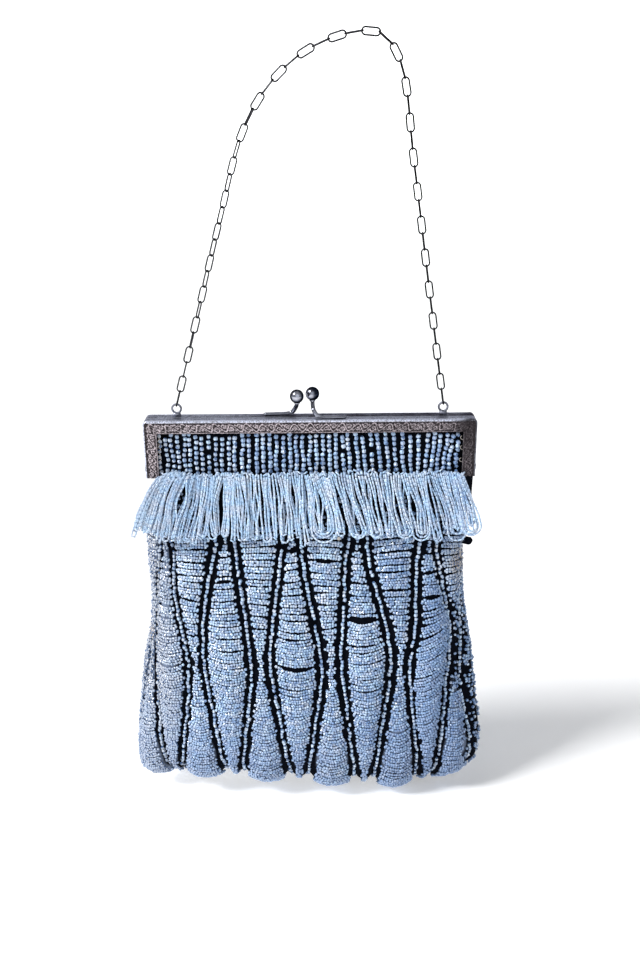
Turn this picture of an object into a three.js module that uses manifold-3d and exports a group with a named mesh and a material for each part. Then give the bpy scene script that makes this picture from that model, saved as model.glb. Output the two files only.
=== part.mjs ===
// A beaded evening bag on a kiss-lock frame: a gathered cloth pouch with lozenge panels, a loop fringe on
// each face, an ornamented two-part metal frame with two ball knobs, and a link chain to carry it by.
// Millimetres, +Z up, the front faces -Y. The origin is on the chain, where fingers carry it.
import * as THREE from "three";
import { mergeVertices } from "three/addons/utils/BufferGeometryUtils.js";
import Module from "manifold-3d";

const wasm = await Module();
wasm.setup();

// Driving dimensions. The bag is modelled with the middle of the frame's top at (0, 0, 0) and the seam
// between the frame's halves in the plane y = 0, and is then hung below the origin.
const FRAME_WIDTH = 149;
const FRAME_HALF_DEPTH = 5.4;
const FRAME_SEAM = 0.3;
const FRAME_SHEET = 1;
const FRAME_CORNER_RADIUS = 2;
const BAR_HEIGHT = 6;
const LEG_WIDTH = 6;
const LEG_LENGTH = 27;
const GAP = 0.3;

// Raised leaves along the middle of the bar and the legs
const LEAF_LENGTH = 6.4;
const LEAF_WIDTH = 2.6;
const LEAF_RISE = 0.35;
const LEAF_SINK = 0.15;
const LEAF_TURN = THREE.MathUtils.degToRad(38);
const BAR_LEAVES = 14;
const LEG_LEAVES = 2;

// Hinge pins at the lower ends of the frame's legs
const PIN_DROP = 24;
const PIN_RADIUS = 1.1;
const PIN_HEAD_RADIUS = 1.9;
const PIN_HEAD = 0.6;
const PIN_SIDES = 10;

// Kiss-lock knobs: a flat tail on the frame's top, an arm and a ball
const BALL_RADIUS = 2.95;
const BALL_HEIGHT = 10;
const BALL_LEAN = 2.2;
const TAIL_WIDTH = 2.8;
const TAIL_SHEET = 0.8;
const ARM_RADIUS = 0.85;
const ARM_SIDES = 8;
const ARM_STEPS = 6;
const KNOBS = [
  { name: "lock_knob_front", ballX: 1.2, rootX: 3.4, tailX: 16.4, side: -1 },
  { name: "lock_knob_back", ballX: -5.7, rootX: -8.2, tailX: -21, side: 1 },
];

// Rings on the back half that the chain hooks into
const LUG_X = 60;
const LUG_Y = 2.7;
const LUG_RING_RADIUS = 2;
const LUG_WIRE = 0.42;
const LUG_RING_HEIGHT = 3.4;
const LUG_BARREL_RADIUS = 1.15;
const LUG_BARREL_LENGTH = 3.4;

// Chain: its route in the plane of the lugs, hung over fingers
const CHAIN_ROUTE = [
  { x: -60, z: 4.6 },
  { x: -48.4, z: 46 },
  { x: -36.9, z: 87 },
  { x: -26, z: 122 },
  { x: -14.6, z: 139.5 },
  { x: 0, z: 151.5 },
  { x: 18, z: 158 },
  { x: 30.2, z: 157.6 },
  { x: 38, z: 147 },
  { x: 44.2, z: 109 },
  { x: 52, z: 57 },
  { x: 60, z: 4.6 },
];
const HANG_DROP = 151.5;
const LINKS = 51;
const LINK_WIDTH = 3.6;
const LINK_WIRE = 0.32;
const LINK_BITE = 0.14;
const LINK_SIDES = 10;
const LINK_WIRE_SIDES = 5;
const CHAIN_TWIST = THREE.MathUtils.degToRad(40);
const CHAIN_TWIST_END = 0.46;

// Pouch: horizontal sections from the mouth down to the hem. wide and deep are half sizes, fullness
// is the exponent of the outline, high for a flat slot and low for a lens, gather is the cloth's scale in the
// middle of a face, puff is how far the panels swell, and hem is the share in the hem's scallops and sag.
const POUCH_WALL = 1.5;
const POUCH_LEAN = -2.1;
const LEAN_START = 30;
const LEAN_END = 70;
const POUCH_SECTIONS = [
  { drop: 1.7, wide: 71.6, deep: 4.2, fullness: 14, gather: 0.96, puff: 0, hem: 0, inner: true },
  { drop: 22, wide: 71.8, deep: 4.3, fullness: 14, gather: 0.96, puff: 0, hem: 0, inner: true },
  { drop: 57, wide: 73.4, deep: 9.6, fullness: 5, gather: 0.97, puff: 0.7, hem: 0, inner: false },
  { drop: 63, wide: 72.4, deep: 10.6, fullness: 4.4, gather: 0.97, puff: 0.8, hem: 0, inner: true },
  { drop: 82, wide: 72.3, deep: 13.2, fullness: 4, gather: 1.01, puff: 0.95, hem: 0, inner: false },
  { drop: 102, wide: 74.1, deep: 15.4, fullness: 3.6, gather: 1.05, puff: 1, hem: 0, inner: true },
  { drop: 124, wide: 77.8, deep: 17.2, fullness: 3.4, gather: 1.07, puff: 1, hem: 0, inner: true },
  { drop: 147, wide: 82, deep: 18.2, fullness: 3.2, gather: 1.05, puff: 1.05, hem: 0.2, inner: true },
  { drop: 166, wide: 85, deep: 18.4, fullness: 3.2, gather: 1.04, puff: 1.05, hem: 0.55, inner: true },
  { drop: 177, wide: 85, deep: 15.4, fullness: 3.2, gather: 1.03, puff: 1.05, hem: 0.9, inner: false },
  { drop: 182, wide: 83, deep: 9.6, fullness: 3, gather: 1.02, puff: 0.8, hem: 1, inner: true },
  { drop: 184, wide: 80, deep: 3.6, fullness: 3, gather: 1, puff: 0.4, hem: 1, inner: true },
];

// Lozenge panels round the pouch, with hourglass panels between them. Positions run along the flat cloth.
const LOZENGES = 12;
const LOZENGE_PITCH = 31.5;
const LOZENGE_OFFSET = -7.5;
const LOZENGE_DRIFT = 2.6;
const DRIFT_START = 50;
const DRIFT_END = 140;
const LOZENGE_HALF_WIDTH = 11.4;
const LOZENGE_TIP_HALF_WIDTH = 4.2;
const WAIST_DROP = 118;
const LOZENGE_HALF_HEIGHT = 82;
const WAIST_ROUNDING = 9;
const PANEL_PUFF = 0.15;
const HEM_SCALLOP = 5.2;
const HEM_SAG = [
  { x: -90, sag: -2.4 },
  { x: -48, sag: -2.6 },
  { x: -21, sag: -0.6 },
  { x: 8, sag: 2 },
  { x: 40, sag: 3.8 },
  { x: 58, sag: 2.6 },
  { x: 72, sag: -1.8 },
  { x: 90, sag: -3.6 },
];
const PANEL_COLUMNS = 3;
const OUTLINE_SAMPLES = 160;

// Loop fringe across each face, sewn along the foot of the flat top panel
const FRINGE_LOCKS = 16;
const FRINGE_HALF_WIDTH = 66.6;
const FRINGE_SPREAD = 12;
const FRINGE_LEAN = -1.5;
const FRINGE_TOP = 22.4;
const FRINGE_LENGTH = 33;
const FRINGE_HEAD_HEIGHT = 3.2;
const FRINGE_HEAD_DEPTH = 1.9;
const FRINGE_CLEARANCE = 0.9;
const FRINGE_ROWS = [
  { fall: 0.02, width: 0.94, thickness: 2.6 },
  { fall: 0.88, width: 0.92, thickness: 3.2 },
  { fall: 1, width: 0.56, thickness: 1.8 },
];
const FRINGE_UNEVEN = 1.6;
const LOCK_FRONT = 0.6;

const MATERIALS = {
  frame: new THREE.MeshStandardMaterial({ color: 0x8d868c, roughness: 0.42, metalness: 0.9 }),
  steel: new THREE.MeshStandardMaterial({ color: 0x9aa0a8, roughness: 0.2, metalness: 1 }),
  chain: new THREE.MeshStandardMaterial({ color: 0x7c7c80, roughness: 0.3, metalness: 1 }),
  cloth: new THREE.MeshStandardMaterial({ color: 0x8ea3c2, roughness: 0.6, metalness: 0 }),
  fringe: new THREE.MeshStandardMaterial({ color: 0xbccbe2, roughness: 0.35, metalness: 0 }),
};

// Solids and meshes

function solidFrom(geometry) {
  const bare = geometry.clone();
  bare.deleteAttribute("normal");
  bare.deleteAttribute("uv");
  const merged = mergeVertices(bare, 1e-4);
  return new wasm.Manifold(
    new wasm.Mesh({
      numProp: 3,
      vertProperties: new Float32Array(merged.attributes.position.array),
      triVerts: new Uint32Array(merged.index.array),
    }),
  );
}

function geometryFrom(solid) {
  const made = solid.getMesh();
  const geometry = new THREE.BufferGeometry();
  geometry.setAttribute("position", new THREE.BufferAttribute(new Float32Array(made.vertProperties), 3));
  geometry.setIndex(new THREE.BufferAttribute(new Uint32Array(made.triVerts), 1));
  geometry.computeVertexNormals();
  return geometry;
}

// The same piece on the other side of the seam
function mirrored(geometry) {
  const copy = geometry.clone().scale(1, -1, 1);
  const index = copy.index;
  for (let i = 0; i < index.count; i += 3) {
    const first = index.getX(i);
    index.setX(i, index.getX(i + 2));
    index.setX(i + 2, first);
  }
  return copy;
}

function joined(geometries) {
  return geometries.map(solidFrom).reduce((whole, piece) => whole.add(piece));
}

function named(name, geometry, material) {
  const mesh = new THREE.Mesh(geometry, material);
  mesh.name = name;
  return mesh;
}

// A flat outline in x and z, given thickness from yFront back to yBack
function plate(shape, yFront, yBack) {
  const geometry = new THREE.ExtrudeGeometry(shape, {
    depth: yBack - yFront,
    bevelEnabled: false,
    curveSegments: 4,
  });
  geometry.rotateX(Math.PI / 2);
  geometry.translate(0, yBack, 0);
  return geometry;
}

// A closed mesh through rings of points that all have the same count, with flat ends
function loft(rings) {
  const count = rings[0].length;
  const points = rings.flat();
  const index = [];
  for (let ring = 0; ring + 1 < rings.length; ring++) {
    for (let i = 0; i < count; i++) {
      const a = ring * count + i;
      const b = ring * count + ((i + 1) % count);
      index.push(a, b, b + count, a, b + count, a + count);
    }
  }
  const last = (rings.length - 1) * count;
  for (let i = 1; i + 1 < count; i++) {
    index.push(0, i + 1, i, last, last + i, last + i + 1);
  }
  const geometry = new THREE.BufferGeometry().setFromPoints(points);
  geometry.setIndex(index);
  return geometry;
}

// Frame

function archShape(halfWidth, top, legLength, barHeight, legWidth, radius) {
  const shape = new THREE.Shape();
  const innerX = halfWidth - legWidth;
  const innerTop = top - barHeight;
  shape.moveTo(-halfWidth, top - legLength);
  shape.lineTo(-innerX, top - legLength);
  shape.lineTo(-innerX, innerTop);
  shape.lineTo(innerX, innerTop);
  shape.lineTo(innerX, top - legLength);
  shape.lineTo(halfWidth, top - legLength);
  shape.lineTo(halfWidth, top - radius);
  shape.absarc(halfWidth - radius, top - radius, radius, 0, Math.PI / 2, false);
  shape.lineTo(radius - halfWidth, top);
  shape.absarc(radius - halfWidth, top - radius, radius, Math.PI / 2, Math.PI, false);
  shape.closePath();
  return shape;
}

// A leaf: a low four-sided point, longer than wide, its root sunk in the frame's face
function leafGeometry(x, z, turn) {
  const face = -(FRAME_SEAM / 2 + FRAME_HALF_DEPTH);
  const leaf = new THREE.ConeGeometry(1, LEAF_RISE + LEAF_SINK, 4, 1);
  leaf.scale(LEAF_LENGTH / 2, 1, LEAF_WIDTH / 2);
  leaf.rotateY(turn);
  leaf.rotateX(Math.PI);
  leaf.translate(x, face + (LEAF_SINK - LEAF_RISE) / 2, z);
  return leaf;
}

// Leaves lean alternately up and down along the bar and in and out along the legs
function leafRow() {
  const leaves = [];
  const half = FRAME_WIDTH / 2 - LEG_WIDTH;
  for (let i = 0; i < BAR_LEAVES; i++) {
    const x = -half + ((i + 0.5) * 2 * half) / BAR_LEAVES;
    leaves.push(leafGeometry(x, -BAR_HEIGHT / 2, i % 2 ? LEAF_TURN : -LEAF_TURN));
  }
  const legMiddle = FRAME_WIDTH / 2 - LEG_WIDTH / 2;
  const legTop = -BAR_HEIGHT / 2;
  const step = (LEG_LENGTH - BAR_HEIGHT / 2) / LEG_LEAVES;
  for (let i = 0; i < LEG_LEAVES; i++) {
    const z = legTop - (i + 0.4) * step;
    const turn = Math.PI / 2 + (i % 2 ? LEAF_TURN : -LEAF_TURN);
    leaves.push(leafGeometry(legMiddle, z, turn), leafGeometry(-legMiddle, z, Math.PI - turn));
  }
  return leaves;
}

// The front half: an ornamented arch-shaped face with a flange back to the seam along its top and outer sides
function frameHalfSolid() {
  const half = FRAME_WIDTH / 2;
  const seam = -FRAME_SEAM / 2;
  const face = seam - FRAME_HALF_DEPTH;
  const faceShape = archShape(half, 0, LEG_LENGTH, BAR_HEIGHT, LEG_WIDTH, FRAME_CORNER_RADIUS);
  const flangeShape = archShape(half, 0, LEG_LENGTH, FRAME_SHEET, FRAME_SHEET, FRAME_CORNER_RADIUS);
  const pinHole = new THREE.CylinderGeometry(
    PIN_RADIUS + GAP,
    PIN_RADIUS + GAP,
    FRAME_WIDTH + 2,
    PIN_SIDES,
  );
  pinHole.rotateZ(Math.PI / 2);
  pinHole.translate(0, 0, -PIN_DROP);
  const sheets = joined([
    plate(faceShape, face, face + FRAME_SHEET),
    plate(flangeShape, face + FRAME_SHEET / 2, seam),
  ]);
  return leafRow()
    .map(solidFrom)
    .reduce((whole, leaf) => whole.add(leaf), sheets.subtract(solidFrom(pinHole)));
}

function lugGeometries(x) {
  const ring = new THREE.TorusGeometry(LUG_RING_RADIUS, LUG_WIRE, 5, 10);
  ring.rotateX(Math.PI / 2);
  ring.translate(x, LUG_Y, LUG_RING_HEIGHT);
  const barrel = new THREE.CylinderGeometry(LUG_BARREL_RADIUS, LUG_BARREL_RADIUS, LUG_BARREL_LENGTH, 10);
  barrel.rotateZ(Math.PI / 2);
  barrel.translate(x, LUG_Y, LUG_BARREL_RADIUS / 2);
  return [ring, barrel];
}

function frameMeshes() {
  const front = geometryFrom(frameHalfSolid());
  const back = joined([mirrored(front), ...[-LUG_X, LUG_X].flatMap(lugGeometries)]);
  return [
    named("frame_front", front, MATERIALS.frame),
    named("frame_back", geometryFrom(back), MATERIALS.frame),
  ];
}

// A rivet along X with a head on each side of the leg
function pinMesh(name, side) {
  const inner = FRAME_WIDTH / 2 - FRAME_SHEET - GAP;
  const outer = FRAME_WIDTH / 2 + GAP;
  const profile = [
    [0, inner - PIN_HEAD],
    [PIN_HEAD_RADIUS * 0.8, inner - PIN_HEAD],
    [PIN_HEAD_RADIUS, inner],
    [PIN_RADIUS, inner],
    [PIN_RADIUS, outer],
    [PIN_HEAD_RADIUS, outer],
    [PIN_HEAD_RADIUS * 0.8, outer + PIN_HEAD],
    [0, outer + PIN_HEAD],
  ].map(([radius, along]) => new THREE.Vector2(radius, along));
  const mesh = named(name, new THREE.LatheGeometry(profile, PIN_SIDES), MATERIALS.steel);
  mesh.rotation.z = (-side * Math.PI) / 2;
  mesh.position.z = -PIN_DROP;
  return mesh;
}

// Kiss-lock knobs

function knobMesh({ name, ballX, rootX, tailX, side }) {
  const middle = side * (FRAME_SEAM / 2 + FRAME_HALF_DEPTH / 2);
  const inward = Math.sign(ballX - tailX);
  const tail = new THREE.BoxGeometry(Math.abs(tailX - rootX) + ARM_RADIUS, TAIL_WIDTH, TAIL_SHEET);
  tail.translate((tailX + rootX + inward * ARM_RADIUS) / 2, middle, TAIL_SHEET / 2 + GAP / 3);
  const ballCentre = new THREE.Vector3(ballX, -side * BALL_LEAN, BALL_HEIGHT);
  const arm = new THREE.CatmullRomCurve3([
    new THREE.Vector3(rootX - inward * 2 * ARM_RADIUS, middle, GAP / 3 + ARM_RADIUS),
    new THREE.Vector3(rootX, middle, GAP / 3 + ARM_RADIUS * 1.2),
    new THREE.Vector3(rootX + inward * 1.6, middle * 0.7, BALL_HEIGHT * 0.34),
    new THREE.Vector3(ballX, -side * BALL_LEAN * 0.7, BALL_HEIGHT * 0.68),
    ballCentre,
  ]);
  const ringShape = new THREE.Shape().absarc(0, 0, ARM_RADIUS, 0, 2 * Math.PI, false);
  const armGeometry = new THREE.ExtrudeGeometry(ringShape, {
    extrudePath: arm,
    steps: ARM_STEPS,
    curveSegments: ARM_SIDES / 2,
    bevelEnabled: false,
  });
  const ball = new THREE.SphereGeometry(BALL_RADIUS, 12, 6);
  ball.rotateX(Math.PI / 2);
  ball.translate(ballCentre.x, ballCentre.y, ballCentre.z);
  return named(name, geometryFrom(joined([tail, armGeometry, ball])), MATERIALS.steel);
}

// Chain

// One link along Y, face on to Z: a torus with an edge of its wire inwards, drawn out into a long loop
function linkGeometry(centreLength) {
  const bend = LINK_WIDTH / 2 - LINK_WIRE;
  const turn = 2 * Math.PI;
  const link = new THREE.TorusGeometry(bend, LINK_WIRE, LINK_WIRE_SIDES, LINK_SIDES, turn, Math.PI, turn);
  const position = link.attributes.position;
  const stretch = centreLength / 2 - bend * Math.cos(Math.PI / LINK_SIDES);
  for (let i = 0; i < position.count; i++) {
    const y = position.getY(i);
    position.setY(i, y + (Math.abs(y) > LINK_WIRE / 2 ? Math.sign(y) * stretch : 0));
  }
  return link;
}

function chainMesh() {
  const route = new THREE.CatmullRomCurve3(
    CHAIN_ROUTE.map(({ x, z }) => new THREE.Vector3(x, LUG_Y, z)),
    false,
    "centripetal",
  );
  const hook = 2 * LINK_WIRE - LINK_BITE;
  const pitch = (route.getLength() - hook) / LINKS;
  const solids = [];
  for (let i = 0; i < LINKS; i++) {
    const share = (n) => (hook / 2 + n * pitch) / route.getLength();
    const start = route.getPointAt(share(i));
    const end = route.getPointAt(share(i + 1));
    const along = end.clone().sub(start).normalize();
    const progress = (i + 0.5) / LINKS;
    const swing = Math.sin((Math.PI * Math.min(progress / CHAIN_TWIST_END, 1)));
    const roll = ((i + 1) % 2) * (Math.PI / 2) + CHAIN_TWIST * swing * swing;
    const depth = new THREE.Vector3(0, 1, 0).applyAxisAngle(along, roll);
    const across = along.clone().cross(depth);
    const matrix = new THREE.Matrix4().makeBasis(across, along, depth);
    matrix.setPosition(start.add(end).multiplyScalar(0.5));
    solids.push(solidFrom(linkGeometry(pitch + hook).applyMatrix4(matrix)));
  }
  const fused = solids.reduce((whole, link) => whole.add(link));
  return named("chain", geometryFrom(fused), MATERIALS.chain);
}

// Pouch

// Half the width of a lozenge panel at a drop: widest at the waist, with a rounded corner there
function lozengeHalfWidth(drop) {
  const away = Math.hypot(drop - WAIST_DROP, WAIST_ROUNDING) - WAIST_ROUNDING;
  const width = LOZENGE_HALF_WIDTH * (1 - away / LOZENGE_HALF_HEIGHT);
  return Math.max(width, LOZENGE_TIP_HALF_WIDTH);
}

// The section's front outline from the left side to the right side, with the length along it
function frontOutline(halfWidth, halfDepth, fullness) {
  const outline = [];
  let length = 0;
  for (let i = 0; i <= OUTLINE_SAMPLES; i++) {
    const angle = (i / OUTLINE_SAMPLES - 0.5) * Math.PI;
    const x = halfWidth * Math.sign(angle) * Math.abs(Math.sin(angle)) ** (2 / fullness);
    const y = -halfDepth * Math.cos(angle);
    if (i > 0) {
      length += Math.hypot(x - outline[i - 1].x, y - outline[i - 1].y);
    }
    outline.push({ x, y, length });
  }
  return outline;
}

// The point at a flat cloth position, measured from the middle of the front, and the outward direction there.
// The cloth lies at the section's scale in the middle of each face and is gathered towards the sides.
function pointOnSection(outline, gather, cloth) {
  const circumference = LOZENGES * LOZENGE_PITCH;
  const quarter = circumference / 4;
  const round = THREE.MathUtils.euclideanModulo(cloth + quarter, circumference) - quarter;
  const onBack = round > quarter;
  const face = onBack ? 2 * quarter - round : round;
  const total = outline[outline.length - 1].length;
  const share = face / quarter;
  const middle = quarter * gather;
  const run = total / 2 + middle * share + (total / 2 - middle) * share ** 3;
  let i = 1;
  while (i < outline.length - 1 && outline[i].length < run) {
    i++;
  }
  const [a, b] = [outline[i - 1], outline[i]];
  const part = THREE.MathUtils.clamp((run - a.length) / (b.length - a.length), 0, 1);
  const step = Math.hypot(b.x - a.x, b.y - a.y);
  const flip = onBack ? -1 : 1;
  return {
    x: a.x + (b.x - a.x) * part,
    y: flip * (a.y + (b.y - a.y) * part),
    outX: (b.y - a.y) / step,
    outY: (-flip * (b.x - a.x)) / step,
  };
}

// The panel columns at a drop: flat cloth positions from line to line, and how far each stands off the lines
function panelColumns(drop) {
  const half = lozengeHalfWidth(drop);
  const first = LOZENGE_OFFSET + LOZENGE_DRIFT * THREE.MathUtils.smoothstep(drop, DRIFT_START, DRIFT_END);
  const columns = [];
  for (let i = 0; i < LOZENGES; i++) {
    const centre = first + (i - LOZENGES / 2) * LOZENGE_PITCH;
    const panels = [
      { start: centre - half, width: 2 * half },
      { start: centre + half, width: LOZENGE_PITCH - 2 * half },
    ];
    for (const { start, width } of panels) {
      for (let column = 0; column < PANEL_COLUMNS; column++) {
        const across = column / PANEL_COLUMNS;
        const crown = 1 - (2 * across - 1) ** 2;
        columns.push({ cloth: start + across * width, stand: PANEL_PUFF * width * crown });
      }
    }
  }
  return columns;
}

// How far the hem hangs below its level at a place across the bag
function hemSag(x) {
  const next = HEM_SAG.findIndex((place) => place.x > x);
  const [a, b] = [HEM_SAG[next - 1], HEM_SAG[next]];
  return a.sag + (b.sag - a.sag) * THREE.MathUtils.smoothstep(x, a.x, b.x);
}

// One ring of the pouch's wall, inset from its outer face
function pouchRing(section, inset) {
  const outline = frontOutline(section.wide - inset, section.deep - inset, section.fullness);
  const lean = POUCH_LEAN * THREE.MathUtils.smoothstep(section.drop, LEAN_START, LEAN_END);
  const fullStand = PANEL_PUFF * (LOZENGE_PITCH - 2 * LOZENGE_TIP_HALF_WIDTH);
  return panelColumns(section.drop).map(({ cloth, stand }) => {
    const at = pointOnSection(outline, section.gather, cloth);
    const off = stand * section.puff;
    const x = at.x + at.outX * off;
    const hang = section.hem * (HEM_SCALLOP * Math.sqrt(stand / fullStand) + hemSag(x));
    return new THREE.Vector3(x + lean, at.y + at.outY * off, -section.drop - hang);
  });
}

// Triangles that close a ring by joining each point of the front to its neighbour on the back
function ringCap(count, first, flip) {
  const triangles = [];
  let low = 0;
  let high = count - 1;
  while (high - low > 1) {
    const next = (low + count - 1 - high) % 2 ? high - 1 : low + 1;
    triangles.push(flip ? [low, next, high] : [low, high, next]);
    if (next === low + 1) {
      low++;
    } else {
      high--;
    }
  }
  return triangles.flat().map((i) => first + i);
}

function pouchMesh() {
  const outer = POUCH_SECTIONS.map((section) => pouchRing(section, 0));
  const inner = POUCH_SECTIONS.filter(({ inner: kept }) => kept).map((section, i, kept) => {
    const lift = i === 0 ? 0 : (POUCH_WALL * i) / (kept.length - 1);
    const ring = pouchRing(section, POUCH_WALL);
    return ring.map((point) => point.setZ(point.z + lift));
  });
  const rings = [...outer.reverse(), ...inner];
  const count = rings[0].length;
  const sideStart = rings[0].reduce((best, point, i) => (point.x < rings[0][best].x ? i : best), 0);
  const turned = rings.map((ring) => [...ring.slice(sideStart), ...ring.slice(0, sideStart)]);
  const index = [];
  for (let ring = 0; ring + 1 < turned.length; ring++) {
    for (let i = 0; i < count; i++) {
      const a = ring * count + i;
      const b = ring * count + ((i + 1) % count);
      index.push(a, b, b + count, a, b + count, a + count);
    }
  }
  index.push(...ringCap(count, 0, false), ...ringCap(count, (turned.length - 1) * count, true));
  const geometry = new THREE.BufferGeometry().setFromPoints(turned.flat());
  geometry.setIndex(index);
  return named("pouch", geometryFrom(solidFrom(geometry)), MATERIALS.cloth);
}

// Fringe

// How far the pouch's face stands in front of the seam at a drop
function pouchReach(drop) {
  const above = POUCH_SECTIONS.findLastIndex((section) => section.drop <= drop);
  const [a, b] = [POUCH_SECTIONS[above], POUCH_SECTIONS[above + 1]];
  const part = (drop - a.drop) / (b.drop - a.drop);
  const panel = LOZENGE_PITCH - 2 * lozengeHalfWidth(drop);
  const puff = THREE.MathUtils.lerp(a.puff, b.puff, part) * PANEL_PUFF * panel;
  return THREE.MathUtils.lerp(a.deep, b.deep, part) + puff;
}

// One lock: a strip that leans outwards near the ends of the fringe, over the swell of the pouch
function lockGeometry(lock) {
  const place = (2 * (lock + 0.5)) / FRINGE_LOCKS - 1;
  const pitch = (2 * FRINGE_HALF_WIDTH) / FRINGE_LOCKS;
  const length = FRINGE_LENGTH - FRINGE_UNEVEN * (0.5 + 0.5 * Math.sin(lock * 2.4));
  const rings = FRINGE_ROWS.map(({ fall, width, thickness }) => {
    const drop = FRINGE_TOP + fall * length;
    const middle = place * FRINGE_HALF_WIDTH + fall * (FRINGE_SPREAD * place ** 3 + FRINGE_LEAN);
    const fanned = 1 + (3 * FRINGE_SPREAD * fall * place ** 2) / FRINGE_HALF_WIDTH;
    const half = (pitch * width * fanned) / 2;
    const back = -(pouchReach(drop) + FRINGE_CLEARANCE);
    return [
      new THREE.Vector3(middle + half, back, -drop),
      new THREE.Vector3(middle + half * LOCK_FRONT, back - thickness, -drop),
      new THREE.Vector3(middle - half * LOCK_FRONT, back - thickness, -drop),
      new THREE.Vector3(middle - half, back, -drop),
    ];
  });
  return loft(rings);
}

function fringeMeshes() {
  const head = new THREE.BoxGeometry(2 * FRINGE_HALF_WIDTH, FRINGE_HEAD_DEPTH, FRINGE_HEAD_HEIGHT);
  const back = -(pouchReach(FRINGE_TOP) + FRINGE_CLEARANCE);
  head.translate(0, back - FRINGE_HEAD_DEPTH / 2, -FRINGE_TOP - FRINGE_HEAD_HEIGHT / 2);
  const locks = Array.from({ length: FRINGE_LOCKS }, (_, lock) => lockGeometry(lock));
  const front = geometryFrom(joined([head, ...locks]));
  return [
    named("fringe_front", front, MATERIALS.fringe),
    named("fringe_back", mirrored(front), MATERIALS.fringe),
  ];
}

const bag = new THREE.Group();
bag.add(...frameMeshes());
bag.add(pinMesh("hinge_pin_left", -1), pinMesh("hinge_pin_right", 1));
bag.add(...KNOBS.map(knobMesh));
bag.add(pouchMesh());
bag.add(...fringeMeshes());
bag.add(chainMesh());
bag.position.set(0, -LUG_Y, -HANG_DROP);

const part = new THREE.Group();
part.add(bag);

export default part;
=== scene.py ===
"""Dresses a beaded evening bag: cloth, seed beads, loop fringe, ornamented frame, clasp, chain and stage.

Shapes are worked out in millimetres in the bag's own frame: the middle of the metal frame's top is the
origin, the seam between its halves is the plane y = 0, the front faces -Y and +Z is up.
"""

import math

import bpy
import numpy as np
from mathutils import Matrix, Vector


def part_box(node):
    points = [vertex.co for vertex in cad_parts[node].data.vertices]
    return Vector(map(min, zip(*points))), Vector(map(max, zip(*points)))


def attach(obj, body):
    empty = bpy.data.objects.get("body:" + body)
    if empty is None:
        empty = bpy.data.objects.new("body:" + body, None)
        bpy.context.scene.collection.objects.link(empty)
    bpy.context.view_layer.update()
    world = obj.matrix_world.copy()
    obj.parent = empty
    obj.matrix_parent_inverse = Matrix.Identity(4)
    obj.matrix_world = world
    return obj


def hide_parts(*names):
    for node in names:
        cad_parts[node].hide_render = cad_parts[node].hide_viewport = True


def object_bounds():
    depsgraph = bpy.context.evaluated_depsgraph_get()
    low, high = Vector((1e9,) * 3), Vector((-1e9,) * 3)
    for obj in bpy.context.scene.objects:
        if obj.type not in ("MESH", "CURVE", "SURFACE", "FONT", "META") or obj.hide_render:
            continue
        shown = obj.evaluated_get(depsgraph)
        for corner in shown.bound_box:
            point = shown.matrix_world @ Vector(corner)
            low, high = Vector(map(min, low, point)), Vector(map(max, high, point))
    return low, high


bl_info = {
    "name": "Beaded frame bag",
    "version": (1, 0, 0),
    "blender": (4, 5, 0),
    "location": "View3D > Sidebar > Beaded bag",
    "description": "Dresses a beaded evening bag with its cloth, beads, fringe, frame, clasp and chain",
    "category": "Object",
}

MM = 0.001
BODY = "root"

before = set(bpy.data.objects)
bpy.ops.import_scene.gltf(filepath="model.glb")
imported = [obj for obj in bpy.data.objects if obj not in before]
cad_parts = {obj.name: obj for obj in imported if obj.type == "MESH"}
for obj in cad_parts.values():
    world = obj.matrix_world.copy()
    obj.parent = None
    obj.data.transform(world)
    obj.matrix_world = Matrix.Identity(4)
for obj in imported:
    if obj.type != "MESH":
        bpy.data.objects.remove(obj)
CAD_BOX = [list(corner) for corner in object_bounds()]


def node_box(node):
    """A CAD node's lowest and highest corners, in millimetres."""
    return [np.array(corner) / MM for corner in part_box(node)]


FRONT_LOW, FRONT_HIGH = node_box("frame_front")
BACK_LOW = node_box("frame_back")[0]
FRAME_TOP = np.array([(FRONT_LOW[0] + FRONT_HIGH[0]) / 2, (FRONT_HIGH[1] + BACK_LOW[1]) / 2, FRONT_HIGH[2]])
FRAME_HALF_WIDTH = (FRONT_HIGH[0] - FRONT_LOW[0]) / 2
LEG_LENGTH = FRONT_HIGH[2] - FRONT_LOW[2]
SEAM = (BACK_LOW[1] - FRONT_HIGH[1]) / 2
CHAIN_Y = -FRAME_TOP[1]

# The pouch's horizontal sections from the mouth to the hem, in millimetres. fullness is the exponent of the
# outline, high for a flat slot and low for a lens, gather is the cloth's scale in the middle of a face,
# puff is how far the panels swell and hem is the share in the hem's scallops and sag.
SECTION_COLUMNS = ("drop", "half_width", "half_depth", "fullness", "gather", "puff", "hem")
SECTIONS = dict(
    zip(
        SECTION_COLUMNS,
        np.array(
            [
                (1.7, 71.6, 4.2, 14, 0.96, 0, 0),
                (22, 71.8, 4.3, 14, 0.96, 0, 0),
                (57, 73.4, 9.6, 5, 0.97, 0.7, 0),
                (63, 72.4, 10.6, 4.4, 0.97, 0.8, 0),
                (82, 72.3, 13.2, 4, 1.01, 0.95, 0),
                (102, 74.1, 15.4, 3.6, 1.05, 1, 0),
                (124, 77.8, 17.2, 3.4, 1.07, 1, 0),
                (147, 82, 18.2, 3.2, 1.05, 1.05, 0.2),
                (166, 85, 18.4, 3.2, 1.04, 1.05, 0.55),
                (177, 85, 15.4, 3.2, 1.03, 1.05, 0.9),
                (182, 83, 9.6, 3, 1.02, 0.8, 1),
                (184, 80, 3.6, 3, 1, 0.4, 1),
                (184.4, 79.2, 2.2, 3, 1, 0.3, 1),
            ]
        ).T,
    )
)
POUCH_LEAN = -2.1
LEAN_DROPS = (30, 70)
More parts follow.
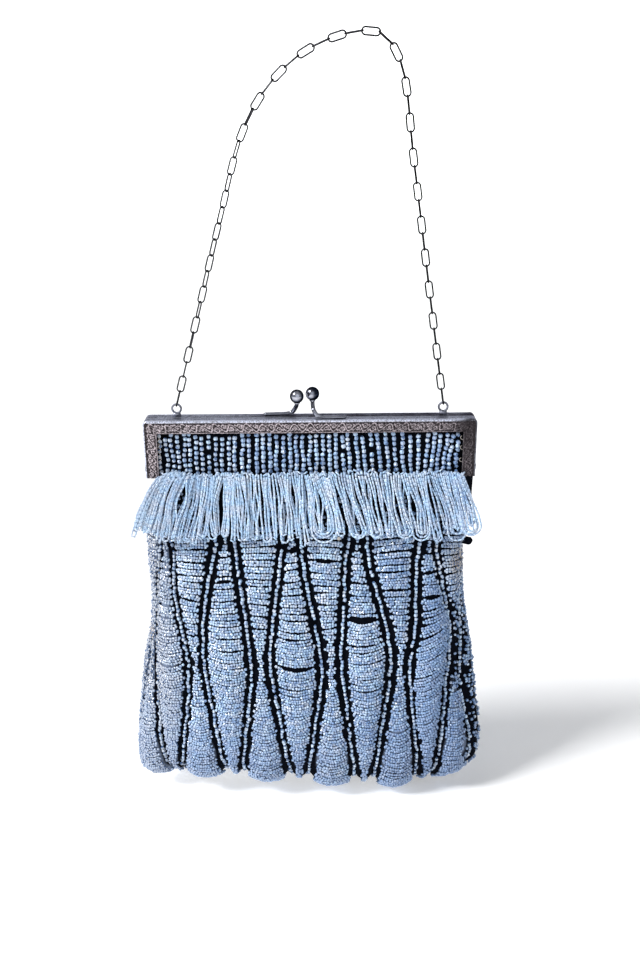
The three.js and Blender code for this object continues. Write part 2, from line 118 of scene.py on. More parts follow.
HEM_SAG = ((-90, -2.4), (-48, -2.6), (-21, -0.6), (8, 2), (40, 3.8), (58, 2.6), (72, -1.8), (90, -3.6))
HEM_SCALLOP = 5.2

# Lozenge panels round the pouch with hourglass panels between them, measured along the flat cloth
LOZENGES = 12
LOZENGE_PITCH = 31.5
LOZENGE_OFFSET = -7.5
LOZENGE_DRIFT = 2.6
DRIFT_DROPS = (50, 140)
LOZENGE_HALF_WIDTH = 11.4
LOZENGE_TIP_HALF_WIDTH = 4.2
WAIST_DROP = 118
LOZENGE_HALF_HEIGHT = 82
WAIST_ROUNDING = 9
PANEL_PUFF = 0.15
AROUND = LOZENGES * LOZENGE_PITCH
QUARTER = AROUND / 4

# How far the cloth lies behind the pouch's outer face, which is the beads'
BEAD_STAND = 1.3

# The frame's section and the fringe's place
BAR_HEIGHT = 6
FACE_Y = SEAM + 5.4
SHEET = 1
CORNER_RADIUS = 2
FRINGE_HALF_WIDTH = 66.6
FRINGE_TOP = 22.4
FRINGE_BACK_TOP = 5.2
FRINGE_BACK_SLOPE = 0.215

# The chain's route in the plane of its lugs, and how its links lie along it
CHAIN_ROUTE = np.array(
    [
        (-60, 4.6),
        (-48.4, 46),
        (-36.9, 87),
        (-26, 122),
        (-14.6, 139.5),
        (0, 151.5),
        (18, 158),
        (30.2, 157.6),
        (38, 147),
        (44.2, 109),
        (52, 57),
        (60, 4.6),
    ]
)
LINKS = 51
LINK_WIDTH = 3.6
LINK_WIRE = 0.32
LINK_BITE = 0.14
LINK_SIDES = 8
DARK_STRAND = (15, 30)
CHAIN_TWIST = math.radians(40)
CHAIN_TWIST_END = 0.46
LUG_X = 60
LUG_RING_RADIUS = 2
LUG_RING_HEIGHT = 3.4
LUG_WIRE = 0.42


# Settings

def length(name, description, default):
    return bpy.props.FloatProperty(
        name=name, description=description, default=default, subtype="DISTANCE", unit="LENGTH", precision=5
    )


def colour(name, description, default):
    return bpy.props.FloatVectorProperty(
        name=name, description=description, default=default, subtype="COLOR", size=3, min=0, max=1
    )


def number(name, description, default):
    return bpy.props.FloatProperty(name=name, description=description, default=default)


class BeadSettings(bpy.types.PropertyGroup):
    seed_length: length("Seed length", "Length of a seed bead along its thread in the panels", 0.00128)
    seed_radius: length("Seed radius", "Radius of a seed bead in the panels", 0.00071)
    string_length: length(
        "String bead length", "Length of a bead in the strings on the gathered lines", 0.00195
    )
    string_radius: length(
        "String bead radius", "Radius of a bead in the strings on the gathered lines", 0.00105
    )
    fringe_length: length("Fringe bead length", "Length of a bead in the fringe's loops", 0.0019)
    fringe_radius: length("Fringe bead radius", "Radius of a bead in the fringe's loops", 0.00042)
    pale: colour("Pale glass", "Colour of the palest beads", (0.66, 0.79, 0.925))
    strung: colour("Strung glass", "Colour of the palest beads in the fringe", (0.64, 0.79, 0.955))
    deep: colour("Deep glass", "Colour of the deepest beads", (0.134, 0.24, 0.468))
    aged: colour("Aged glass", "Colour of beads that have greyed", (0.42, 0.435, 0.47))
    stained: colour("Stained glass", "Colour of beads with a brown stain", (0.42, 0.35, 0.28))


class ClothSettings(bpy.types.PropertyGroup):
    thickness: length("Thickness", "Thickness of the black cloth", 0.0012)
    black: colour("Cloth", "Colour of the black cloth", (0.0012, 0.0016, 0.003))
    # Partly painted light: the ground also stands in for light that fills the gaps between close rows
    ground: colour("Ground", "Threads and bead sides seen between close rows", (0.22, 0.27, 0.38))
    thread: colour("Thread", "Colour of the sewing thread along the frame", (0.5, 0.46, 0.42))


class MetalSettings(bpy.types.PropertyGroup):
    silver: colour("Silver", "Worn silver on the ornament's high places", (0.73, 0.635, 0.675))
    plain: colour("Plain edge", "Steel blue of the frame's plain top and edge", (0.78, 0.82, 0.98))
    tarnish: colour("Tarnish", "Tarnish in the ornament's hollows", (0.023, 0.019, 0.021))
    # Partly painted highlight: this pale steel blue is the plain metal's, and also stands for the light
    # caught along the front top edge and the top
    steel: colour("Clasp steel", "Polished steel of the clasp's arms", (0.5, 0.51, 0.58))
    # Painted reflection: the balls' near-black steel stands in for the dark surroundings they mirror
    dark_reflection_steel: colour("Dark steel", "Darkened steel of the clasp's balls", (0.02, 0.025, 0.042))
    wire: colour("Chain wire", "Darkened steel wire of the chain", (0.055, 0.055, 0.06))
    relief: length("Relief", "Height of the frame's scrolls", 0.00034)


class StageSettings(bpy.types.PropertyGroup):
    sun: number("Key light", "Strength of the key light", 3.3)
    fill: number("Front fill", "Strength of the soft light from the front", 0.5)
    sky: number("Sky light", "Strength of the light all round", 0.43)
    lens: number("Lens", "Focal length on a 36 mm frame", 37.6)


class BagSettings(bpy.types.PropertyGroup):
    beads: bpy.props.PointerProperty(type=BeadSettings)
    cloth: bpy.props.PointerProperty(type=ClothSettings)
    metal: bpy.props.PointerProperty(type=MetalSettings)
    stage: bpy.props.PointerProperty(type=StageSettings)


def settings():
    return bpy.context.scene.beaded_bag


# Shader expressions

class Value:
    """A node's output. Sums, products and powers of values add Math nodes."""

    def __init__(self, shader, socket):
        self.shader = shader
        self.socket = socket

    def math(self, operation, first, second):
        return self.shader.node("Math", {"operation": operation}, {0: first, 1: second})

    def __add__(self, other):
        return self.math("ADD", self, other)

    def __radd__(self, other):
        return self.math("ADD", other, self)

    def __sub__(self, other):
        return self.math("SUBTRACT", self, other)

    def __rsub__(self, other):
        return self.math("SUBTRACT", other, self)

    def __mul__(self, other):
        return self.math("MULTIPLY", self, other)

    def __rmul__(self, other):
        return self.math("MULTIPLY", other, self)

    def __pow__(self, other):
        return self.math("POWER", self, other)


class Shader:
    """A node tree, with one method for any node and short ones for the commonest."""

    def __init__(self, tree):
        self.tree = tree

    def node(self, kind, choices=None, inputs=None, output=0):
        made = self.tree.nodes.new("ShaderNode" + kind)
        for name, choice in (choices or {}).items():
            if name == "stops":
                self.set_stops(made.color_ramp, choice)
            else:
                setattr(made, name, choice)
        for name, value in (inputs or {}).items():
            self.feed(made.inputs[name], value)
        return Value(self, made.outputs[output])

    def feed(self, socket, value):
        if isinstance(value, Value):
            self.tree.links.new(value.socket, socket)
        elif socket.type == "RGBA" and len(value) == 3:
            socket.default_value = (*value, 1)
        else:
            socket.default_value = value

    def set_stops(self, ramp, stops):
        while len(ramp.elements) < len(stops):
            ramp.elements.new(1)
        for element, (place, shade) in zip(ramp.elements, stops):
            element.position = place
            element.color = (*shade, 1)

    def mix(self, first, second, factor):
        return self.node("Mix", {"data_type": "RGBA"}, {0: factor, 6: first, 7: second}, output=2)

    def attribute(self, name):
        return self.node("Attribute", {"attribute_name": name}, output=2)

    def noise(self, scale, detail=2.0, roughness=0.5):
        place = self.node("TexCoord", output=3)
        return self.node(
            "TexNoise", None, {"Vector": place, "Scale": scale, "Detail": detail, "Roughness": roughness}
        )

    def span(self, value, low, high):
        return self.node("MapRange", None, {"Value": value, "From Min": low, "From Max": high})

    def bump(self, height, strength, distance):
        return self.node("Bump", None, {"Height": height, "Strength": strength, "Distance": distance * MM})


def new_material(name, **inputs):
    """A Principled material and its shader. Inputs are the values that are the same all over."""
    material = bpy.data.materials.new(name)
    material.use_nodes = True
    shader = Shader(material.node_tree)
    surface = material.node_tree.nodes["Principled BSDF"]
    for socket, value in inputs.items():
        shader.feed(surface.inputs[socket.replace("_", " ").title().replace("Ior", "IOR")], value)
    return material, shader, surface.inputs


def shaded(tone, *factors):
    """A colour with its parts multiplied by one factor, or each by its own."""
    return tuple(np.array(tone) * np.array(factors))


# How a bead's hue may differ from its glass, and the scales of the patterns on metal, cloth and glass, in
# waves a metre
COOL_HUE = (0.87, 0.99, 1.05)
WARM_HUE = (1.12, 1.01, 0.94)
GLASS_CLOUDS = 34
GLASS_HUES = 300
GLASS_FLECKS = 1150
GLASS_FACETS = 1500
CLOTH_FLECKS = 900
SILVER_CLOUDS = 120
SILVER_SPECKS = 1500
STEEL_SMEARS = 420
THREAD_TWIST = 2600


def glass_bead_material(name, pale, brightness, threadway_and_joint_shade):
    """Pale glass: each bead has its own tint, darker towards its ends, partly where its thread runs in and
    partly painted shade where it meets the next bead, with broad clouds of deeper glass, a cooler or warmer
    hue from bead to bead, greyed glass where the beads have aged and an uneven face that sparkles."""
    beads = settings().beads
    material, shader, surface = new_material(name, ior=1.52)
    tint = shader.attribute("tint")
    waist = shader.attribute("waist")
    aged = shader.attribute("aged")
    cloud = shader.span(shader.noise(GLASS_CLOUDS, 3), 0.36, 0.66)
    fleck = shader.span(shader.noise(GLASS_FLECKS, 2), 0.36, 0.62)
    depth = tint * 0.6 + cloud * 0.16 + fleck * 0.24
    cool, warm = (shaded(pale, *hue) for hue in (COOL_HUE, WARM_HUE))
    hue = shader.mix(cool, warm, shader.span(shader.noise(GLASS_HUES, 2), 0.38, 0.62))
    glass = shader.mix(beads.deep, hue, depth ** brightness)
    glass = shader.mix(glass, beads.aged, shader.span(aged, 0, 0.7) * 0.7)
    glass = shader.mix(glass, beads.stained, shader.span(aged, 0.65, 1) * 0.8)
    # Painted shade: the darker ends stand for the thread's way in and for the shade where beads meet
    threadway_and_joint_shade_colour = shaded(beads.deep, threadway_and_joint_shade)
    shader.feed(surface["Base Color"], shader.mix(threadway_and_joint_shade_colour, glass, shader.span(waist, 0.0, 0.4)))
    shader.feed(surface["Roughness"], 0.32 - tint * 0.2)
    shader.feed(surface["Coat Weight"], tint * 0.45)
    shader.feed(surface["Normal"], shader.bump(shader.noise(GLASS_FACETS, 2), 0.6, 0.5))
    return material


def black_cloth_material():
    """Dull black cloth with a fine thread bump, paler where threads and bead sides cover it and where light
    is painted into the gaps between close rows.
    """
    material, shader, surface = new_material("black_cloth", roughness=0.95, specular_ior_level=0.04)
    fleck = shader.noise(CLOTH_FLECKS, 3, 0.6)
    cloth = settings().cloth
    black = shader.mix(cloth.black, shaded(cloth.black, 3.2), fleck)
    ground = shader.span(shader.attribute("tone"), 0.55, 1)
    shader.feed(surface["Base Color"], shader.mix(black, cloth.ground, ground))
    shader.feed(surface["Normal"], shader.bump(fleck, 0.5, 0.25))
    return material


def frame_material():
    """Silver plate: bright on the high scrolls and the plain edges, where the pale blue top and the bright
    front top edge are partly painted highlight; dark in the hollows, and darker where its darkening value is
    high."""
    metal = settings().metal
    material, shader, surface = new_material(
        "tarnished_silver", metallic=1.0, specular_tint=(0.3, 0.3, 0.32, 1)
    )
    relief = shader.attribute("relief")
    tarnish = shader.attribute("tarnish")
    cloud = shader.span(shader.noise(SILVER_CLOUDS, 4, 0.6), 0.34, 0.7)
    speck = shader.span(shader.noise(SILVER_SPECKS, 2, 0.7), 0.38, 0.64)
    plain = shader.attribute("plain")
    high = shader.span(relief * (0.5 + speck * 0.8), 0.14, 0.84)
    clean = 1 - tarnish * (0.76 + cloud * 0.24)
    silver = shader.mix(metal.silver, metal.plain, plain)
    shader.feed(surface["Base Color"], shader.mix(metal.tarnish, silver, high * clean + 0.04 * speck))
    shader.feed(surface["Roughness"], 0.5 - high * 0.24 + speck * 0.08)
    shader.feed(surface["Normal"], shader.bump(speck, 0.3, 0.12))
    return material


def steel_material(name, bright, dark, roughness):
    """Polished steel with faint smears, dark where it has tarnished and where the same value paints shade or
    a dark reflection on.
    """
    material, shader, surface = new_material(name, metallic=1.0, specular_tint=(0.02, 0.02, 0.03, 1))
    smear = shader.noise(STEEL_SMEARS, 3, 0.6)
    clean = shader.span(smear, 0.3, 0.62) * 0.4 + 0.6
    tarnish = shader.attribute("tarnish")
    shader.feed(surface["Base Color"], shader.mix(dark, bright, clean * (1 - tarnish)))
    shader.feed(surface["Roughness"], roughness + smear * 0.12)
    return material


def thread_material():
    """Cream sewing thread with a fine twist."""
    material, shader, surface = new_material("cream_thread", roughness=0.85)
    twist = shader.noise(THREAD_TWIST, 2)
    thread = settings().cloth.thread
    shader.feed(surface["Base Color"], shader.mix(shaded(thread, 0.5), thread, twist))
    shader.feed(surface["Normal"], shader.bump(twist, 0.6, 0.1))
    return material


# The stage's tones, and where the floor's glow, painted light under the bag, fades to the right and to the
# back, in metres
STAGE_WHITES = ((0.92, 0.92, 0.92), (0.96, 0.96, 0.96))
STAGE_PATCHES = 3
PAINTED_LIGHT_RIGHT = (0.035, 0.085)
PAINTED_LIGHT_BACK = (0.0, 0.05)


def stage_material(name, glow):
    """Plain white, a little uneven so that it isn't one flat tone, with a glow of its own: all over the
    backdrop, and on the floor only on the left from the front to under the bag, where the glow is painted
    light that lifts the shade under the bag's near edge and keeps it from going grey."""
    material, shader, surface = new_material(name, roughness=0.9)
    uneven = shader.noise(STAGE_PATCHES, 2)
    shader.feed(surface["Base Color"], shader.mix(*STAGE_WHITES, uneven))
    surface["Emission Strength"].default_value = glow
    if name == "floor_white":
        place = shader.node("TexCoord", output=3)
        left = 1 - shader.span(shader.node("SeparateXYZ", None, {0: place}, output=0), *PAINTED_LIGHT_RIGHT)
        near = 1 - shader.span(shader.node("SeparateXYZ", None, {0: place}, output=1), *PAINTED_LIGHT_BACK)
        shader.feed(surface["Emission Color"], shader.mix((0, 0, 0), (1, 1, 1), left * near))
    else:
        surface["Emission Color"].default_value = (1, 1, 1, 1)
    return material


# Meshes

def grid_faces(rows, columns, wrap=False):
    """Quads over a grid of points in row order. With wrap, the last column joins the first."""
    row = np.arange(rows - 1)[:, None]
    column = np.arange(columns if wrap else columns - 1)[None, :]
    following = (column + 1) % columns
    corners = [
        row * columns + column,
        row * columns + following,
        (row + 1) * columns + following,
        (row + 1) * columns + column,
    ]
    return np.stack(corners, axis=-1).reshape(-1, 4)


def ring_cap(count, first):
    """Triangles that close a flattened ring by zigzag from its first point across to its last."""
    steps = np.arange(count - 2)
    low = (steps + 1) // 2
    high = count - 1 - steps // 2
    following = np.where(steps % 2 == 0, low + 1, high - 1)
    return first + np.stack([low, following, high], axis=-1)


def end_caps(rows, columns):
    """The two faces that close a grid of wrapped rows, at its first row and at its last."""
    ring = np.arange(columns)
    return np.stack([ring[::-1], (rows - 1) * columns + ring])


def joined(surfaces):
    """One (points, faces, values) from several, with their indices moved on."""
    points, faces, values, start = [], [], {}, 0
    for surface_points, surface_faces, surface_values in surfaces:
        points.append(surface_points)
        faces += [group + start for group in surface_faces]
        for name, value in surface_values.items():
            values.setdefault(name, []).append(value)
        start += len(surface_points)
    return np.concatenate(points), faces, {name: np.concatenate(parts) for name, parts in values.items()}


def signed_volume(points, faces):
    """Six times the volume inside the faces, by the sum of the cones from the origin to each face's fan."""
    total = 0.0
    for group in faces:
        for step in range(1, group.shape[1] - 1):
            a, b, c = (points[group[:, corner]] for corner in (0, step, step + 1))
            total += np.einsum("ij,ij->", a, np.cross(b, c))
    return total


def add_piece(name, surface, material, slot, *replaced, facets=False):
    """Puts a surface into a mesh object that rides on the bag, facing outwards, and hides the CAD parts
    that it replaces."""
    points, faces, values = surface
    if signed_volume(points, faces) < 0:
        faces = [group[:, ::-1] for group in faces]
    mesh = bpy.data.meshes.new(name)
    corners = np.concatenate([group.ravel() for group in faces]).astype(np.int32)
    sizes = np.concatenate([np.full(len(group), group.shape[1]) for group in faces])
    starts = np.concatenate([[0], np.cumsum(sizes)[:-1]]).astype(np.int32)
    mesh.vertices.add(len(points))
    mesh.vertices.foreach_set("co", ((points + FRAME_TOP) * MM).astype(np.float32).ravel())
    mesh.loops.add(len(corners))
    mesh.loops.foreach_set("vertex_index", corners)
    mesh.polygons.add(len(starts))
    mesh.polygons.foreach_set("loop_start", starts)
    for value_name, value in values.items():
        attribute = mesh.attributes.new(value_name, "FLOAT", "POINT")
        attribute.data.foreach_set("value", value.astype(np.float32))
    mesh.update(calc_edges=True)
    mesh.polygons.foreach_set("use_smooth", np.full(len(starts), not facets))
    mesh.materials.append(material)
    piece = bpy.data.objects.new(name, mesh)
    bpy.context.scene.collection.objects.link(piece)
    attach(piece, BODY)
    if replaced:
        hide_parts(*replaced)
    return piece


def with_values(surface, **added):
    """A surface with more values, each a number for all its points or one for each point."""
    points, faces, values = surface
    more = {name: np.zeros(len(points)) + value for name, value in added.items()}
    return points, faces, {**values, **more}


def mirrored(surface):
    """A front's surface turned over the seam for the back, with its faces still outwards."""
    points, faces, values = surface
    return points * [1, -1, 1], [group[:, ::-1] for group in faces], values


def unit(vectors):
    return vectors / np.linalg.norm(vectors, axis=-1, keepdims=True)


def squared(across, along):
    """The unit direction nearest to across that is square to along."""
    return unit(across - along * np.sum(across * along, axis=-1, keepdims=True))


def rings_about(first, second, sides, squash=1.0):
    """Rings of points at equal angles: the first direction by a cosine and the second by a flattened
    sine."""
    angle = 2 * np.pi * np.arange(sides) / sides
    cosine = np.cos(angle)[None, :, None]
    sine = np.sin(angle)[None, :, None]
    return cosine * first[:, None] + squash * sine * second[:, None]


def tube(path, radius, sides, across, closed=False, squash=1.0):
    """A round section carried along a path. across lies near the section's plane, and squash flattens the
    section the other way. An open tube is closed with flat ends."""
    if closed:
        along = unit(np.roll(path, -1, axis=0) - np.roll(path, 1, axis=0))
    else:
        along = unit(np.gradient(path, axis=0))
    first = squared(np.broadcast_to(np.asarray(across, float), path.shape), along)
    reach = np.broadcast_to(np.asarray(radius, float), (len(path),))[:, None, None]
    rings = rings_about(first, np.cross(along, first), sides, squash)
    points = (path[:, None] + reach * rings).reshape(-1, 3)
    if closed:
        rows = np.concatenate([np.arange(len(points)), np.arange(sides)])
        return points, [rows[grid_faces(len(path) + 1, sides, wrap=True)]], {}
    return points, [grid_faces(len(path), sides, wrap=True), end_caps(len(path), sides)], {}


# A direction that lies along no turned piece's axis, and the direction from front to back
LATHE_START = (0.31, 0.17, 0.93)
DEPTHWISE = (0.0, 1.0, 0.0)


def lathe(profile, base, axis, sides):
    """A profile of (radius, height) turned about an axis through base, with a point where it starts and
    ends."""
    radius, height = np.array(profile, float).T
    across = unit(np.cross(axis, LATHE_START))
    path = base + np.outer(height, axis)
    first = np.broadcast_to(across, path.shape)
    second = np.broadcast_to(np.cross(axis, across), path.shape)
    points = (path[:, None] + radius[:, None, None] * rings_about(first, second, sides)).reshape(-1, 3)
    return points, [grid_faces(len(path), sides, wrap=True), end_caps(len(path), sides)], {}


# Curves

def smooth(value, low, high):
    """0 below low, 1 above high and an S-curve between."""
    t = np.clip((value - low) / (high - low), 0, 1)
    return t * t * (3 - 2 * t)


def plateau(value, rise, fall):
    """An S-curve up over the range rise, and another down over the range fall."""
    return smooth(value, *rise) * (1 - smooth(value, *fall))


def ridge(distance, width):
    """A bell curve, 1 in its middle."""
    return np.exp(-((distance / width) ** 2))


def wrapped(value, period):
    """A value moved by whole periods to within half a period of 0."""
    return (value + period / 2) % period - period / 2


def curve_through(table, place):
    """The straight-line curve through a table of (place, value)."""
    places, values = np.array(table, float).T
    return np.interp(place, places, values)


def eased(places, xs, ys):
    """A cubic through the points (xs, ys) that never overshoots: its slope at each point is the harmonic
    mean of the slopes on both sides, or 0 at a turn."""
    step = np.diff(xs)
    rise = np.diff(ys) / step
    together = rise[:-1] * rise[1:] > 0
    mean = 2 * rise[:-1] * rise[1:] / np.where(together, rise[:-1] + rise[1:], 1)
    slope = np.concatenate([rise[:1], np.where(together, mean, 0), rise[-1:]])
    i = np.clip(np.searchsorted(xs, places) - 1, 0, len(step) - 1)
    t = np.clip((places - xs[i]) / step[i], 0, 1)
    return (
        ys[i] * (1 + 2 * t) * (1 - t) ** 2
        + ys[i + 1] * t**2 * (3 - 2 * t)
        + step[i] * t * (1 - t) * (slope[i] * (1 - t) - slope[i + 1] * t)
    )


def run_along(route):
    """The length along a route of points, at each of them."""
    return np.concatenate([[0], np.cumsum(np.linalg.norm(np.diff(route, axis=0), axis=1))])


def points_along(route, run, wanted):
    """The points at the wanted lengths along a route whose points lie at the lengths run."""
    return np.stack([np.interp(wanted, run, column) for column in route.T], axis=-1)


def spline(points, count):
    """A smooth curve through points: a centripetal Catmull-Rom spline, at equal lengths along it."""
    points = np.asarray(points, float)
    padded = np.concatenate([[2 * points[0] - points[1]], points, [2 * points[-1] - points[-2]]])
    knot = np.linalg.norm(np.diff(padded, axis=0), axis=1) ** 0.5
    t = np.linspace(0, 1, 60, endpoint=False)[None, :, None]
    p0, p1, p2, p3 = (padded[i : len(padded) - 3 + i, None] for i in range(4))
    d0, d1, d2 = (knot[i : len(knot) - 2 + i, None, None] for i in range(3))
    m1 = d1 * ((p1 - p0) / d0 - (p2 - p0) / (d0 + d1) + (p2 - p1) / d1)
    m2 = d1 * ((p2 - p1) / d1 - (p3 - p1) / (d1 + d2) + (p3 - p2) / d2)
    fine = p1 * (1 + 2 * t) * (1 - t) ** 2 + p2 * t**2 * (3 - 2 * t)
    fine = fine + m1 * t * (1 - t) ** 2 - m2 * t**2 * (1 - t)
    fine = np.concatenate([fine.reshape(-1, points.shape[1]), points[-1:]])
    run = run_along(fine)
    return points_along(fine, run, np.linspace(0, run[-1], count))


# Beads

LOZENGE_SEED = 20
HOURGLASS_SEED = 21
STRING_SEED = 71
YOKE_SEED = 12
FRINGE_SEED = 31
STITCH_SEED = 5
BEAD_SIDES = 5
BEAD_PLACES = (-0.5, 0.0, 0.5)

# Where beads have greyed, as distances to the left and drops, and the brown stains half way down the left
# side and under the fringe at the right, by the columns x, z, half width, half height and strength
GREY_SIDE = (56, 73)
GREY_SIDE_FADES = (130, 165)
GREY_FOOT = (140, 180)
GREY_YOKE = (22, 42)
GREY_YOKE_HEIGHTS = (-28, -24)
STAINS = (
    (-77, -106, 6, 9, 0.95),
    (69, -69, 8, 11, 1.0),
)


def ageing(centre):
    """How far beads have greyed: most along the left side, a little near the foot and on the left of the
    flat top panel. Each stain is a bell curve both ways."""
    x, _, z = centre.T
    greyed = 0.7 * smooth(-x, *GREY_SIDE) * (1 - 0.45 * smooth(-z, *GREY_SIDE_FADES))
    greyed = greyed + 0.2 * smooth(-z, *GREY_FOOT)
    greyed = greyed + 0.14 * smooth(-x, *GREY_YOKE) * smooth(z, *GREY_YOKE_HEIGHTS)
    stains = [
        share * ridge(x - at_x, wide) * ridge(z - at_z, high)
        for at_x, at_z, wide, high, share in STAINS
    ]
    return np.clip(np.maximum.reduce([greyed, *stains]), 0, 1)


def beads(centre, axis, outward, bead_length, radius, tint, end=0.74):
    """Barrel beads: rings of points round each thread, narrow at both ends and full at the waist."""
    count = len(centre)
    axis = unit(axis)
    first = squared(outward, axis)
    ring = rings_about(first, np.cross(axis, first), BEAD_SIDES)
    rings = [
        centre[:, None]
        + (axis * (np.asarray(bead_length) * np.ones(count))[:, None])[:, None] * along
        + ring * (np.asarray(radius) * np.ones(count))[:, None, None] * (end if along else 1.0)
        for along in BEAD_PLACES
    ]
    points = np.stack(rings, axis=1).reshape(-1, 3)
    per_bead = BEAD_SIDES * len(BEAD_PLACES)
    start = (np.arange(count) * per_bead)[:, None, None]
    sides = (grid_faces(len(BEAD_PLACES), BEAD_SIDES, wrap=True)[None] + start).reshape(-1, 4)
    ends = (end_caps(len(BEAD_PLACES), BEAD_SIDES)[None] + start).reshape(-1, BEAD_SIDES)
    waist = np.tile(np.repeat([1 - 2 * abs(along) for along in BEAD_PLACES], BEAD_SIDES), count)
    values = {"tint": np.repeat(tint, per_bead), "aged": np.repeat(ageing(centre), per_bead), "waist": waist}
    return points, [sides, ends], values


def spread(counts, rng):
    """For strings of so many beads each: the string each bead is on, and its place from 0 to 1 along it.
    Strings start up to half a bead early or late, so that beads side by side don't line up."""
    string = np.repeat(np.arange(len(counts)), counts)
    place = np.arange(counts.sum()) - np.repeat(np.cumsum(counts) - counts, counts)
    return string, (place + 0.5 + rng.uniform(-0.45, 0.45, len(counts))[string]) / counts[string]


# The pouch's wall

def hem_sag(x):
    """How far the hem hangs below its level across the bag, by S-curves between the measured places."""
    places, sags = np.array(HEM_SAG, float).T
    i = np.clip(np.searchsorted(places, x) - 1, 0, len(places) - 2)
    return sags[i] + (sags[i + 1] - sags[i]) * smooth(x, places[i], places[i + 1])


SECTION_RUN = run_along(np.stack([SECTIONS["drop"], SECTIONS["half_depth"]], axis=-1))
RUN_END = SECTION_RUN[-1]


def section_at(run, column):
    """One of the sections' columns at a run, the length down the wall from the mouth."""
    return eased(run, SECTION_RUN, SECTIONS[column])


def run_at(drop):
    """The run at which the wall is a given drop below the frame's top."""
    fine = np.linspace(0, RUN_END, 2000)
    return np.interp(drop, section_at(fine, "drop"), fine)


def lozenge_half_width(drop):
    """Half a lozenge panel's width: widest at the waist, less by a slanted line up and down from a rounded
    corner."""
    away = np.hypot(drop - WAIST_DROP, WAIST_ROUNDING) - WAIST_ROUNDING
    return np.maximum(LOZENGE_HALF_WIDTH * (1 - away / LOZENGE_HALF_HEIGHT), LOZENGE_TIP_HALF_WIDTH)


def lozenge_middle(drop):
    """The flat cloth position of the first lozenge's middle, which drifts a little on the way down."""
    return LOZENGE_OFFSET + LOZENGE_DRIFT * smooth(drop, *DRIFT_DROPS)


def panel_stand(cloth, drop):
    """How far a panel stands off its lines: a parabola across the panel, as high as a share of its
    width."""
    half = lozenge_half_width(drop)
    from_middle = wrapped(cloth - lozenge_middle(drop), LOZENGE_PITCH)
    on_lozenge = np.abs(from_middle) <= half
    width = np.where(on_lozenge, 2 * half, LOZENGE_PITCH - 2 * half)
    on_hourglass = np.where(from_middle > 0, from_middle - half, from_middle + LOZENGE_PITCH - half)
    across = np.where(on_lozenge, from_middle + half, on_hourglass) / width
    return PANEL_PUFF * width * (1 - (2 * across - 1) ** 2)


# How far the cloth is pulled round towards each side, the drops over which that fades, and where across the
# cloth it comes and goes
LEFT_PULL = 7.0
LEFT_PULL_DROPS = (80, 128)
RIGHT_PULL = 9.0
RIGHT_PULL_DROPS = (94, 134)
PULL_COMES = (26, 68)
PULL_GOES = (98, 132)


def side_pull(cloth, drop):
    """How far the cloth is pulled round towards the sides high up, where the gathered lines crowd to the
    edges."""
    place = wrapped(cloth, AROUND)
    left = -LEFT_PULL * (1 - smooth(drop, *LEFT_PULL_DROPS))
    right = RIGHT_PULL * (1 - smooth(drop, *RIGHT_PULL_DROPS))
    return np.where(place < 0, left, right) * plateau(np.abs(place), PULL_COMES, PULL_GOES)


